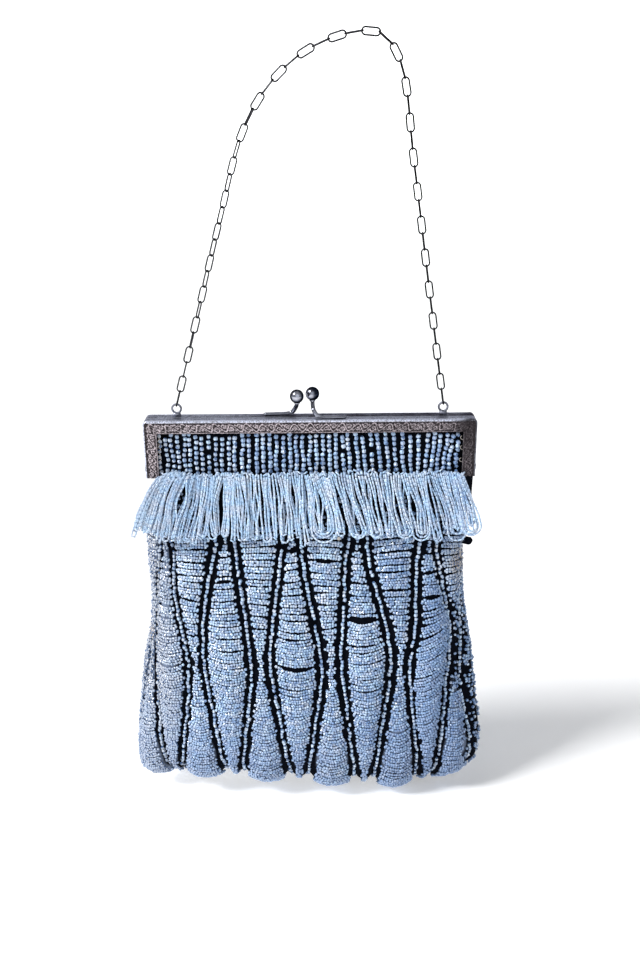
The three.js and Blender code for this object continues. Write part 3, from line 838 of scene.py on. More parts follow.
class PouchWall:
    """The wall as a surface of two lengths: cloth, how far round the flat cloth a point is from the middle
    of the front, and run, how far down the wall it is from the mouth."""

    ROWS = 420
    COLUMNS = 220

    def __init__(self, inset=0.0):
        """Outlines on which the share of the half width, to the power fullness, and the share of the half
        depth, squared, add up to 1. Points are at equal steps of cloth from a face's middle to its side. The
        cloth lies at the section's scale in the middle and is gathered towards the sides."""
        self.inset = inset
        run = np.linspace(0, RUN_END, self.ROWS)
        middle = QUARTER * section_at(run, "gather")[:, None]
        width = np.maximum(section_at(run, "half_width") - inset, 1)[:, None]
        depth = np.maximum(section_at(run, "half_depth") - inset, 0.05)[:, None]
        angle = np.linspace(0, np.pi / 2, 240)[None]
        x = width * np.sin(angle) ** (2 / section_at(run, "fullness")[:, None])
        y = -depth * np.cos(angle)
        lengths = np.cumsum(np.hypot(np.diff(x, prepend=0), np.diff(y, prepend=y[:, :1])), axis=1)
        share = np.linspace(0, 1, self.COLUMNS)
        wanted = middle * share + (lengths[:, -1:] - middle) * share**3
        self.x = np.stack([np.interp(*row) for row in zip(wanted, lengths, x)])
        self.y = np.stack([np.interp(*row) for row in zip(wanted, lengths, y)])
        along_x, along_y = np.gradient(self.x, axis=1), np.gradient(self.y, axis=1)
        size = np.hypot(along_x, along_y)
        self.out_x, self.out_y = along_y / size, -along_x / size

    def lookup(self, table, row, column):
        """A table's value between its rows and columns."""
        r = np.clip(row.astype(int), 0, self.ROWS - 2)
        c = np.clip(column.astype(int), 0, self.COLUMNS - 2)
        fr, fc = row - r, column - c
        upper = table[r, c] * (1 - fc) + table[r, c + 1] * fc
        lower = table[r + 1, c] * (1 - fc) + table[r + 1, c + 1] * fc
        return upper * (1 - fr) + lower * fr

    def point(self, cloth, run):
        """The outline's point, moved out by the panel's swell, down by the hem's scallops and sag and aside
        by the pouch's lean."""
        cloth, run = np.broadcast_arrays(np.asarray(cloth, float), np.asarray(run, float))
        run = np.clip(run, 0, RUN_END)
        drop = section_at(run, "drop")
        pulled = cloth + side_pull(cloth, drop)
        around = (pulled + QUARTER) % AROUND - QUARTER
        back = np.where(around > QUARTER, -1, 1)
        face = np.where(around > QUARTER, 2 * QUARTER - around, around)
        side = np.where(face < 0, -1, 1)
        row = run / RUN_END * (self.ROWS - 1)
        column = np.abs(face) / QUARTER * (self.COLUMNS - 1)
        stand = panel_stand(cloth, drop)
        puff = stand * section_at(run, "puff")
        full = PANEL_PUFF * (LOZENGE_PITCH - 2 * LOZENGE_TIP_HALF_WIDTH)
        x = side * (self.lookup(self.x, row, column) + puff * self.lookup(self.out_x, row, column))
        y = back * (self.lookup(self.y, row, column) + puff * self.lookup(self.out_y, row, column))
        hang = section_at(run, "hem") * (HEM_SCALLOP * np.sqrt(stand / full) + hem_sag(x))
        z = -drop - hang + self.inset * run / RUN_END
        return np.stack([x + POUCH_LEAN * smooth(drop, *LEAN_DROPS), y, z], axis=-1)

    def normal(self, cloth, run):
        """The outward direction: down the wall crossed with round the cloth."""
        step = 0.35
        run = np.clip(run, step, RUN_END - step)
        down = self.point(cloth, run + step) - self.point(cloth, run - step)
        sideways = self.point(cloth + step, run) - self.point(cloth - step, run)
        return unit(np.cross(down, sideways))


WALL = PouchWall(BEAD_STAND)


def on_wall(cloth, run, lift):
    """Points that stand a lift off the wall, with their outward directions."""
    outward = WALL.normal(cloth, run)
    return WALL.point(cloth, run) + outward * np.asarray(lift)[..., None], outward


def panel_columns(drop, steps):
    """Cloth positions that follow the gathered lines: each panel's own width in equal steps."""
    half = lozenge_half_width(drop)[:, None, None]
    middle = lozenge_middle(drop)[:, None, None] + LOZENGE_PITCH * np.arange(LOZENGES)[None, :, None]
    share = np.arange(steps) / steps
    lozenge = middle - half + 2 * half * share
    hourglass = middle + half + (LOZENGE_PITCH - 2 * half) * share
    return np.concatenate([lozenge, hourglass], axis=2).reshape(len(drop), -1)


# Where the paler ground shows, partly threads and bead sides and partly painted light in the gaps between
# rows: how far clear of the gathered lines, at which drops and how far to the left, and how much flat cloth
# at the right side stays black
GROUND_CLEAR = (2.3, 3.6)
GROUND_LOW = (104, 150)
GROUND_FOOT = (164, 178)
GROUND_LEFT = (58, 68)
BLACK_SIDE = 15
BLACK_SIDE_FADE = 5


def ground_and_painted_light_tone(cloth, drop, x):
    """How far the cloth is paler than black, partly threads and bead sides and partly painted light that
    fills
    the shaded gaps: clear of the gathered lines, where rows lie close low down and along the left side, but
    not along the right side."""
    place = np.abs(wrapped(cloth - lozenge_middle(drop), LOZENGE_PITCH))
    from_line = np.abs(place - lozenge_half_width(drop))
    low = smooth(drop, *GROUND_LOW) * (1 - 0.6 * smooth(drop, *GROUND_FOOT))
    left_side = smooth(-x, *GROUND_LEFT) * smooth(drop, 50, 60)
    tone = smooth(from_line, *GROUND_CLEAR) * np.maximum(low, left_side)
    right_side = smooth(BLACK_SIDE - np.abs(cloth - QUARTER), 0, BLACK_SIDE_FADE) * smooth(drop, 60, 80)
    return np.maximum(tone * (1 - right_side), closed_up(cloth, drop))


def cloth_surface():
    """The cloth as one closed skin: up the outside from the hem to the rim, and down the inside, a
    thickness in."""
    thickness = settings().cloth.thickness / MM
    inner_wall = PouchWall(BEAD_STAND + thickness)
    outer_run = np.concatenate([np.linspace(0, 20, 6), np.linspace(26, RUN_END, 96)])
    inner_run = np.concatenate([np.linspace(0, 20, 4), np.linspace(30, RUN_END, 36)])
    rings = []
    tones = []
    for wall, run in ((WALL, outer_run[::-1]), (inner_wall, inner_run)):
        cloth = panel_columns(section_at(run, "drop"), 6)
        rings.append(wall.point(cloth, run[:, None]))
        tones.append(ground_and_painted_light_tone(cloth, section_at(run, "drop")[:, None], rings[-1][..., 0]))
    start = np.argmin(rings[0][0, :, 0])
    points = np.roll(np.concatenate(rings), -start, axis=1)
    tone = np.roll(np.concatenate(tones), -start, axis=1)
    rows, columns = points.shape[:2]
    caps = np.concatenate([ring_cap(columns, 0), ring_cap(columns, (rows - 1) * columns)[:, ::-1]])
    return points.reshape(-1, 3), [grid_faces(rows, columns, wrap=True), caps], {"tone": tone.ravel()}


# Bead rows in the panels

# The drop at which rows start, and by drop the spacing of their pairs and their sag
ROW_START = 34
PAIR_SPACING = ((34, 3.18), (56, 3.15), (84, 3.05), (104, 2.92), (128, 2.8), (150, 2.6), (186, 2.45))
ROW_SAG = ((34, -0.05), (84, -0.03), (104, 0.03), (132, 0.1), (160, 0.11), (186, 0.04))

# Half the distance between a pair's rows and how much less that is in loose pairs, the spacing past which
# pairs are loose, and a row's least half length
PAIR_HALF = 0.7
PAIR_DRAWN = 0.06
LOOSE_SPACING = 2.85
LOOSE_SPAN = 0.3
LEAST_REACH = 0.72

# How often pairs sag apart, how far, and how much of that the pair above rises
SLIT_CHANCE = 0.024
SLIT_SIZE = (0.7, 1.5)
SLIT_ABOVE = 0.4

# The shares of rows and of string beads that are missing, and of string beads where lines close up
ROW_LOSS = 0.004
STRING_LOSS = 0.03
CLOSED_LOSS = 0.8

# How far rows, seed beads and string beads stray: the spread of a normal draw, or the ends of an even one
ROW_STRAY = {
    "run": 0.14,
    "margin": 0.22,
    "tilt": 0.15,
    "slack": (0.8, 1.2),
    "sag": 0.16,
    "reach": 0.22,
    "shade": 0.11,
}
SEED_STRAY = {"lift": (-0.2, 0.25), "place": 0.1, "axis": 0.22, "radius": (0.84, 1.14)}
STRING_STRAY = {"run": 0.1, "axis": 0.24, "place": 0.22, "radius": (0.66, 0.94), "length": (0.84, 1.0)}

# The drops below which rows lie calmer, where rows are darker as painted shade and where they are paler, and
# where their beads are more alike
CALM_DROPS = (138, 166)
PAINTED_SHADE_LOW = (134, 168)
PALE_HIGH = (58, 74)
PAINTED_SHADE_RIGHT = (10, 60)
PAINTED_SHADE_SLANT = (60, 84)
EVEN_LEFT = (58, 70)
EVEN_LOW = (145, 168)

# Beads that turn a pair's ends: how loose and how long the pair has to be, and their length and radius
TURN_LOOSE = 0.15
TURN_REACH = 1.5
TURN_LENGTH = 1.3
TURN_RADIUS = 0.58

# The panel at the right whose rows are drawn aslant: where it lies, and the drops over which the slant
# comes and goes
SLANT_MIDDLE = 58
SLANT_WIDTH = 10
SLANT_TILT = 0.48
SLANT_DROPS = ((84, 108), (150, 170))

# How far rows stop short of the gathered lines, by drop, and where the lines close up: past the left side,
# and by drop
LOZENGE_MARGIN = ((40, 3.4), (100, 3.3), (150, 2.8), (186, 3.4))
HOURGLASS_MARGIN = ((40, 3.5), (100, 3.4), (150, 2.9), (186, 3.4))
CLOSED_PAST = ((5, 9), (20, 26))
CLOSED_DROPS = ((54, 64), (104, 116))

# Places on the front's right side that have lost beads: the share lost, where that starts in x, and the
# drops over which it comes and goes
BARE_PATCHES = (
    (0.6, (63, 67), (84, 94), (126, 138)),
    (0.8, (72.5, 75), (118, 126), (174, 182)),
)

# The drop down to which the front's fringe hides rows and the share of their beads left out there, which
# also lets the black cloth stand as painted shade in the fringe's gaps, and the place where the tape hides
# them all
FRINGE_COVER = 49
FRINGE_COVER_SHARE = 0.75
TAPE_X = 66
TAPE_DROP = 54


def closed_up(cloth, drop):
    """How far the gathered lines close up, from 0 to 1: along the upper part of the left side they hardly
    show."""
    return plateau(-wrapped(cloth + QUARTER, AROUND), *CLOSED_PAST) * plateau(drop, *CLOSED_DROPS)


def under_tape(x, z):
    """Whether a place lies under the black tape at the right side."""
    return (x > TAPE_X) & (z > -TAPE_DROP)


def panel_rows(hourglass, seed):
    """Sagging rows of seed beads from line to line, in pairs whose ends turn back on themselves. Rows are
    close low down and stand apart higher up. A row's run is its pair's, plus half the pair, a sag and a
    tilt. Here and there pairs sag apart, which leaves a slit between them. Rows get painted shade low down,
    where the lobes face the floor, to the right and in the panel that slants, and are a little paler high
    up."""
    rng = np.random.default_rng(seed)
    fine = np.linspace(run_at(ROW_START), RUN_END - 0.6, 3000)
    density = np.cumsum(np.gradient(fine) / curve_through(PAIR_SPACING, section_at(fine, "drop")))
    pairs = int(density[-1]) - 1
    panel = np.repeat(np.arange(LOZENGES), pairs)
    order = np.tile(np.arange(pairs), LOZENGES) + rng.uniform(0, 1, LOZENGES)[panel]
    pair_run = np.interp(order, density, fine) + rng.normal(0, ROW_STRAY["run"], len(panel))
    drop = section_at(pair_run, "drop")
    loose = np.clip((curve_through(PAIR_SPACING, drop) - LOOSE_SPACING) / LOOSE_SPAN, 0, 1)
    half = lozenge_half_width(drop)
    half = LOZENGE_PITCH / 2 - half if hourglass else half
    calm = 1 - 0.85 * smooth(drop, *CALM_DROPS)
    middle = lozenge_middle(drop) + LOZENGE_PITCH * (panel + 0.5 * hourglass)
    margin = curve_through(HOURGLASS_MARGIN if hourglass else LOZENGE_MARGIN, drop)
    margin = margin + rng.normal(0, ROW_STRAY["margin"], len(panel))
    reach = np.maximum(half - margin * (1 - 0.35 * closed_up(middle, drop)), LEAST_REACH)
    wave = rng.uniform(0, 2 * np.pi, LOZENGES)[panel]
    tilt = 0.09 * reach * np.sin(pair_run / 13 + wave) + rng.normal(0, ROW_STRAY["tilt"], len(panel))
    tilt = calm * tilt
    aslant = ridge(middle - SLANT_MIDDLE, SLANT_WIDTH)
    tilt = tilt - SLANT_TILT * reach * aslant * plateau(drop, *SLANT_DROPS)
    parts = rng.uniform(0, 1, len(panel)) < SLIT_CHANCE
    slit = np.roll(np.where(parts, rng.uniform(*SLIT_SIZE, len(panel)), 0), 1)
    sag = 2 * reach * curve_through(ROW_SAG, drop) * rng.uniform(*ROW_STRAY["slack"], len(panel))
    stray = rng.normal(0, ROW_STRAY["sag"], len(panel))
    sag = sag + calm * (stray + slit - np.roll(slit, -1) * SLIT_ABOVE)
    # Painted shade: rows darker low down where the lobes face down, to the right away from the key light and
    # in the slanted panel; a little paler high up
    dark = 0.5 * smooth(drop, *PAINTED_SHADE_LOW) - 0.08 * (1 - smooth(drop, *PALE_HIGH))
    dark = dark + 0.25 * smooth(wrapped(middle, AROUND), *PAINTED_SHADE_RIGHT)
    dark = dark + 0.45 * aslant * smooth(drop, *PAINTED_SHADE_SLANT)
    upper = np.repeat([[-1, 1]], len(panel), axis=0).ravel()
    pick = np.repeat(np.arange(len(panel)), 2)
    kept = rng.uniform(0, 1, len(pick)) > ROW_LOSS
    return {
        "middle": middle[pick][kept],
        "reach": (reach[pick] + rng.normal(0, ROW_STRAY["reach"], len(pick)))[kept],
        "run": (pair_run[pick] + upper * (PAIR_HALF - PAIR_DRAWN * loose[pick]))[kept],
        "sag": sag[pick][kept],
        "tilt": tilt[pick][kept],
        "shade": (rng.normal(0, ROW_STRAY["shade"], len(panel)) - dark)[pick][kept],
    }, {"middle": middle, "reach": reach, "run": pair_run, "tilt": tilt, "loose": loose}


def row_point(row, place, lift):
    """The wall's point at a place from -1 to 1 along a row."""
    run = row["run"] + row["sag"] * (1 - place**2) + row["tilt"] * place
    return on_wall(row["middle"] + row["reach"] * place, np.clip(run, 0, RUN_END - 0.5), lift)


def panel_bead_surface(hourglass, back, seed):
    """Beads threaded along the rows of one face's panels, and the beads that turn each pair's ends."""
    sizes = settings().beads
    rng = np.random.default_rng(seed)
    row, pair = panel_rows(hourglass, seed)
    lift = 0.85 * sizes.seed_radius / MM
    ends = np.linspace(-1, 1, 9)[:, None]
    bent = row_point(row, ends, lift)[0]
    row_length = np.linalg.norm(np.diff(bent, axis=0), axis=-1).sum(axis=0)
    counts = np.maximum(np.rint(row_length / (sizes.seed_length / MM)), 1).astype(int)
    string, share = spread(counts, rng)
    one = {name: column[string] for name, column in row.items()}
    place = 2 * share - 1
    step = 0.04
    centre, outward = row_point(one, place, lift + rng.uniform(*SEED_STRAY["lift"], len(place)))
    axis = row_point(one, place + step, lift)[0] - row_point(one, place - step, lift)[0]
    centre = centre + rng.normal(0, SEED_STRAY["place"], centre.shape)
    axis = unit(axis) + rng.normal(0, SEED_STRAY["axis"], axis.shape)
    bead_length = np.minimum((row_length / counts)[string], 1.15 * sizes.seed_length / MM) * 0.98
    radius = sizes.seed_radius / MM * rng.uniform(*SEED_STRAY["radius"], len(place))
    tint = np.where(rng.uniform(0, 1, len(place)) < 0.05, 1.0, rng.beta(0.95, 0.9, len(place)))
    even = np.maximum(0.6 * smooth(-centre[:, 0], *EVEN_LEFT), 0.35 * smooth(-centre[:, 2], *EVEN_LOW))
    tint = np.clip(tint + even * (0.5 - tint) + one["shade"], 0, 1)
    groups = [(centre, axis, outward, bead_length, radius, tint)]
    for side in (-1, 1):
        turn = (pair["loose"] > TURN_LOOSE) & (pair["reach"] > TURN_REACH)
        cloth = pair["middle"][turn] + side * (pair["reach"][turn] + 0.12)
        run = pair["run"][turn] + side * pair["tilt"][turn]
        end, end_out = on_wall(cloth, run, lift)
        down = on_wall(cloth, run + 0.3, lift)[0] - end
        tints = rng.beta(3, 1.3, len(end))
        turn_length, turn_radius = np.full(len(end), TURN_LENGTH), np.full(len(end), TURN_RADIUS)
        groups.append((end, down, end_out, turn_length, turn_radius, tints))
    whole = [np.concatenate(parts) for parts in zip(*groups)]
    x, y, z = whole[0].T
    lost = [
        share * smooth(x, *aside) * plateau(-z, comes, goes)
        for share, aside, comes, goes in BARE_PATCHES
    ]
    # Beads left out behind the fringe, partly hidden anyway, partly so the black cloth shows as painted
    # shade in its gaps
    behind_fringe = FRINGE_COVER_SHARE * (z > -FRINGE_COVER)
    bare = np.maximum(np.maximum.reduce([*lost, behind_fringe]) * (y < 0), under_tape(x, z))
    kept = ((whole[2][:, 1] > 0) == back) & (rng.uniform(0, 1, len(x)) > bare)
    return beads(*(part[kept] for part in whole))


def line_string_surface():
    """A string of larger beads down each gathered line, a little uneven, standing in the valley between
    panels."""
    sizes = settings().beads
    rng = np.random.default_rng(STRING_SEED)
    pitch = sizes.string_length / MM
    start, stop = run_at(ROW_START), RUN_END - 1.5
    count = int((stop - start) / pitch)
    side = np.repeat(np.tile([-1, 1], LOZENGES), count)
    panel = np.repeat(np.arange(LOZENGES), 2 * count)
    run = np.tile(start + pitch * np.arange(count), 2 * LOZENGES)
    run = run + np.repeat(rng.uniform(0, pitch, 2 * LOZENGES), count)
    run = run + rng.normal(0, STRING_STRAY["run"], len(run))
    sway = np.repeat(rng.uniform(0, 2 * np.pi, 2 * LOZENGES), count)

    def cloth_at(run):
        drop = section_at(run, "drop")
        line = lozenge_middle(drop) + LOZENGE_PITCH * panel + side * lozenge_half_width(drop)
        return line + 0.2 * np.sin(run / 4 + sway) + 0.45 * np.sin(run / 17 + 2 * sway)

    lift = 0.9 * sizes.string_radius / MM + 0.25
    centre, outward = on_wall(cloth_at(run), run, lift)
    axis = unit(WALL.point(cloth_at(run + 0.6), run + 0.6) - WALL.point(cloth_at(run - 0.6), run - 0.6))
    axis = axis + rng.normal(0, STRING_STRAY["axis"], axis.shape)
    centre = centre + rng.normal(0, STRING_STRAY["place"], centre.shape)
    radius = sizes.string_radius / MM * rng.uniform(*STRING_STRAY["radius"], len(run))
    chance = STRING_LOSS + CLOSED_LOSS * closed_up(cloth_at(run), section_at(run, "drop"))
    kept = (rng.uniform(0, 1, len(run)) > chance) & ~under_tape(centre[:, 0], centre[:, 2])
    bead_length = pitch * rng.uniform(*STRING_STRAY["length"], len(run))
    tint = rng.beta(1.4, 0.8, len(run))
    return beads(*(part[kept] for part in (centre, axis, outward, bead_length, radius, tint)))


# The flat top panel

YOKE_HALF_WIDTH = 68.9
YOKE_PITCH = ((-66, 2.7), (-48, 2.8), (-34, 3.1), (14, 2.95), (24, 3.45), (48, 3.5), (58, 2.7), (66, 2.6))
YOKE_TOP = 6.8
YOKE_FOOT = 26.3
YOKE_LEAN = (
    (-66, 0.3),
    (-34, -0.3),
    (-10, 0),
    (5, 0),
    (18, 1.6),
    (33, 2.4),
    (44, 0.8),
    (54, -1.8),
    (62, -1.2),
    (66, 0),
)
YOKE_FACE = 4.3
YOKE_GRID_END = -0.5 * YOKE_HALF_WIDTH
YOKE_JUMBLE_START = 58
YOKE_JUMBLE_WIDTH = 8

# Beads on the flat top panel in the grid and elsewhere: their spacing, length, share of the string bead's
# radius and the power that lightens their tint
YOKE_SPACING = (2.2, 1.98)
YOKE_LENGTH = (1.72, 1.94)
YOKE_RADIUS = (0.96, 0.97)
YOKE_TINT = (0.55, 1)

# The shares of its strings that are a bead short and of its beads that are missing or turned, and how far
# they stray
YOKE_SHORT = 0.1
YOKE_LOSS = 0.012
YOKE_TURNED = 0.36
YOKE_STRAY = {"x": 0.2, "lean": 0.25, "sway": 0.26, "place": 0.11, "axis": 0.16, "radius": (0.84, 1.06)}


def yoke_surface(back):
    """Upright strings of beads across the flat panel inside the frame. On the left the beads stand apart in
    a grid and are paler, elsewhere they touch and the strings lean and sway a little, and at the right end
    they jumble."""
    sizes = settings().beads
    rng = np.random.default_rng(YOKE_SEED + back)
    fine = np.linspace(-YOKE_HALF_WIDTH, YOKE_HALF_WIDTH, 2000)
    density = np.cumsum(np.gradient(fine) / curve_through(YOKE_PITCH, fine))
    columns = int(density[-1])
    x = np.interp(np.arange(columns) + 0.5, density, fine)
    x = x + rng.normal(0, YOKE_STRAY["x"], columns)
    gridded = x < YOKE_GRID_END
    pitch = np.where(gridded, *YOKE_SPACING)
    counts = ((YOKE_FOOT - YOKE_TOP) / pitch).astype(int) - (rng.uniform(0, 1, columns) < YOKE_SHORT)
    string, share = spread(counts, rng)
    lean = (curve_through(YOKE_LEAN, x) + rng.normal(0, YOKE_STRAY["lean"], columns))[string]
    sway = rng.normal(0, YOKE_STRAY["sway"], columns)[string]
    at_x = x[string] + lean * (share - 0.5) + sway * np.sin(share * 2.4 * np.pi)
    bow = np.where(gridded, 0.55 * np.sin(x / 7), 0)[string]
    z = -(YOKE_TOP + (YOKE_FOOT - YOKE_TOP) * share + bow)
    jumble = np.clip((at_x - YOKE_JUMBLE_START) / YOKE_JUMBLE_WIDTH, 0, 1)
    kept = rng.uniform(0, 1, len(z)) > YOKE_LOSS
    face = 1 if back else -1
    y = np.full(len(z), face * (YOKE_FACE - 0.25 * sizes.string_radius / MM))
    centre = np.stack([at_x, y, z], axis=-1)
    centre = centre + rng.normal(0, YOKE_STRAY["place"], centre.shape) * (1 + 3 * jumble)[:, None]
    axis = np.stack([lean / 16 + sway / 4, 0 * z, -np.ones(len(z))], axis=-1)
    turned = rng.uniform(0, 1, len(z)) < YOKE_TURNED
    askew = (1 + 5 * jumble + 4 * turned)[:, None]
    axis = axis + rng.normal(0, YOKE_STRAY["axis"], axis.shape) * askew
    outward = np.broadcast_to([0.0, face, 0.0], centre.shape)
    size = np.where(gridded[string], *YOKE_LENGTH)
    radius = sizes.string_radius / MM * np.where(gridded[string], *YOKE_RADIUS)
    radius = radius * rng.uniform(*YOKE_STRAY["radius"], len(z))
    tint = rng.beta(0.9, 1.1, len(z)) ** np.where(gridded[string], *YOKE_TINT)
    return beads(*(part[kept] for part in (centre, axis, outward, size, radius, tint)))


# Fringe

# How far the feet of the front's loops swing aside from where they are sewn, by place across the bag
FRINGE_FAN = (
    (-67, -14.5),
    (-60, -10.5),
    (-52, -7),
    (-40, -2.6),
    (-30, 1.8),
    (-15, 1.5),
    (0, 3),
    (10, 7),
    (20, 6.5),
    (32, 5),
    (45, 5.4),
    (55, 7),
    (69, 6.2),
)
FRINGE_BACK_FAN = 0.3
FRINGE_RIGHT_END = 69

# Where the fringe parts: the place across the bag, how far strands stand aside, and the share of the way
# down
FRINGE_PARTINGS = (
    (-59, 1.9, 0.4),
    (-34, 1.1, 0.5),
    (-24.4, 0.9, 0.5),
    (-16.8, 0.7, 0.3),
    (-13.7, 0.7, 0.62),
    (-7.5, 0.7, 0.4),
    (3, 0.7, 0.5),
    (27.6, 0.6, 0.25),
    (33, 0.9, 0.65),
    (45.4, 1.3, 0.65),
    (58.3, 1.4, 0.7),
)
PARTING_REACH = 3.0
PARTING_HEIGHT = 0.26

# Where feet crowd and loops are shorter towards the ends, how wide the innermost loop of a small and of a
# larger cluster gapes, how far apart nested loops lie and how far clusters stray in length
CROWDED_LEFT = (58, 68)
CROWDED_RIGHT = (64, 73)
FRINGE_ENDS = (62, 68)
SHORT_LEFT = (64, 80)
SHORT_RIGHT = (66, 76)
SMALL_GAPE = (0.45, 0.8)
LARGE_GAPE = (0.7, 1.9)
NEST_STEP = (0.9, 1.06)
LENGTH_STRAY = (-1.2, 1.1)

# The two layers: how many loops each has, how many clusters of one or two stand on the left, how many loops
# a later cluster has at most, how long the loops are and how far they stand off the pouch
FRINGE_LAYERS = (
    {"loops": 80, "small": 30, "most": 6, "length": 31.4, "stand": 2.0},
    {"loops": 62, "small": 23, "most": 3, "length": 29.4, "stand": 0.9},
)


def fringe_loops(rng, layer, fan):
    """Loops side by side along the fringe, on the left by ones and twos and on the right bunched in
    clusters, nested inside one another. Their feet are closer at both ends and fan out from where they are
    sewn."""
    sizes = np.concatenate([rng.integers(1, 3, layer["small"]), rng.integers(2, layer["most"] + 1, 60)])
    sizes = sizes[np.cumsum(sizes) <= layer["loops"]]
    first = np.cumsum(sizes) - sizes
    cluster = np.repeat(np.arange(len(sizes)), sizes)
    nest = np.arange(sizes.sum()) - first[cluster]
    tops = np.linspace(-FRINGE_HALF_WIDTH, FRINGE_RIGHT_END, 400)
    feet = tops + fan * curve_through(FRINGE_FAN, tops)
    density = 1 + 1.5 * smooth(-feet, *CROWDED_LEFT) + 1.7 * smooth(feet, *CROWDED_RIGHT)
    order = np.cumsum(density * np.gradient(feet))
    order = (order - order[0]) / (order[-1] - order[0]) * sizes.sum()
    half_way = first + sizes / 2
    foot = np.interp(half_way, order, feet)
    middle = np.interp(half_way, order, tops)
    bend = np.interp(half_way, order, np.gradient(tops, order)) / 4
    small, large = (rng.uniform(*gapes, len(sizes)) for gapes in (SMALL_GAPE, LARGE_GAPE))
    gape = np.where(sizes < 3, small, large)
    at_end = smooth(np.abs(foot), *FRINGE_ENDS)
    gape = gape * (1 - 0.65 * at_end)
    close = rng.uniform(*NEST_STEP, len(sizes)) * (1 - 0.25 * at_end)
    low = FRINGE_TOP + layer["length"] + rng.uniform(*LENGTH_STRAY, len(sizes))
    level = low - gape - close * (sizes - 1)
    level = level - 4.5 * smooth(-foot, *SHORT_LEFT) - 3.5 * smooth(foot, *SHORT_RIGHT)
    stand = layer["stand"] + 0.3 * (np.arange(len(sizes)) % 2)
    one = {
        "top": middle,
        "foot": foot + rng.normal(0, 0.5, len(sizes)) * np.where(np.abs(middle) > 55, 0.3, 1),
        "level": level,
        "swing": 1.2 - 0.58 * smooth(-middle, 48, 58),
        "bow": rng.normal(0, 0.75, len(sizes)),
        "pinch": rng.uniform(0, 0.13, len(sizes)),
        "depth": stand + rng.uniform(-0.1, 0.15, len(sizes)),
    }
    loops = {name: values[cluster] for name, values in one.items()}
    count = len(cluster)
    loops["bend"] = bend[cluster]
    loops["top_half"] = bend[cluster] * (2 * nest + 1)
    loops["foot_half"] = gape[cluster] + close[cluster] * nest + rng.uniform(-0.25, 0.25, count)
    loops["foot"] = loops["foot"] + rng.normal(0, 0.3, count)
    loops["level"] = loops["level"] + rng.normal(0, 0.7, count)
    loops["head"] = FRINGE_TOP + 2.9 + 0.35 * np.sin(loops["top"] / 5) + rng.uniform(-0.35, 0.5, count)
    loops["head"] = loops["head"] - 1.6 * ridge(loops["top"] + 60, 6)
    loops["depth"] = loops["depth"] + rng.uniform(-0.45, 0.45, count)
    loops["bow"] = loops["bow"] + rng.normal(0, 0.35, count)
    loops["phase"] = rng.uniform(0, 2 * np.pi, count)
    return loops


def parted(home, fall):
    """How far a strand that hangs at a home place stands aside where the fringe parts: most close beside a
    parting, at its own height."""
    place, gap, height = (column[:, None] for column in np.array(FRINGE_PARTINGS).T)
    away = home - place
    push = gap * np.sign(away) * np.exp(-np.abs(away) / PARTING_REACH) * ridge(fall - height, PARTING_HEIGHT)
    return 4 * fall * (1 - fall) * push.sum(axis=0)


def loop_lengths(loop):
    """The lengths of a loop's parts: a bend at its sewn end, a strand, and the turn at its foot."""
    return np.pi / 2 * loop["bend"], loop["level"] - loop["head"], np.pi * loop["foot_half"]


def loop_point(loop, share):
    """A point at a share of the way along a loop: a bend over from the loop beside it, down one strand,
    round the foot, up the other strand and a bend over to the next loop. Strands lie on the slope of the
    pouch."""
    bend, strand, turn = loop_lengths(loop)
    way = share * (2 * bend + 2 * strand + turn)
    over = np.clip(way / bend, 0, 1)
    down = np.clip((way - bend) / strand, 0, 1)
    around = np.clip((way - bend - strand) / turn, 0, 1)
    up = np.clip((way - bend - strand - turn) / strand, 0, 1)
    away = np.clip((way - bend - 2 * strand - turn) / bend, 0, 1)
    fall = down - up
    half = loop["top_half"] + (loop["foot_half"] - loop["top_half"]) * smooth(fall, 0, 1)
    half = half * (1 - loop["pinch"] * np.sin(np.pi * fall))
    head = np.pi / 2 * (away - (1 - over))
    middle = loop["top"] + (loop["foot"] - loop["top"]) * fall ** loop["swing"]
    side = -np.cos(np.pi * around)
    wave = 0.32 * np.sin(8 * fall + loop["phase"] + 1.9 * side) * np.sin(np.pi * fall)
    x = middle + loop["bow"] * np.sin(np.pi * fall) + wave + half * side
    x = x + np.sign(head) * loop["bend"] * (1 - np.cos(head))
    aside = np.where(share < 0.5, -1, 1) * (loop["top_half"] + loop["foot_half"])
    x = x + parted((loop["top"] + loop["foot"] + aside) / 2, fall)
    drop = loop["head"] + fall * strand + loop["foot_half"] * np.sin(np.pi * around)
    drop = drop - loop["bend"] * np.abs(np.sin(head))
    slope = FRINGE_BACK_TOP + FRINGE_BACK_SLOPE * (drop - FRINGE_TOP)
    tuck = np.clip((FRINGE_TOP + 4.3 - drop) / 3, 0, 1)
    y = -(slope + loop["depth"] * (1 - 0.7 * tuck**2))
    return np.stack([x, y, -drop], axis=-1)


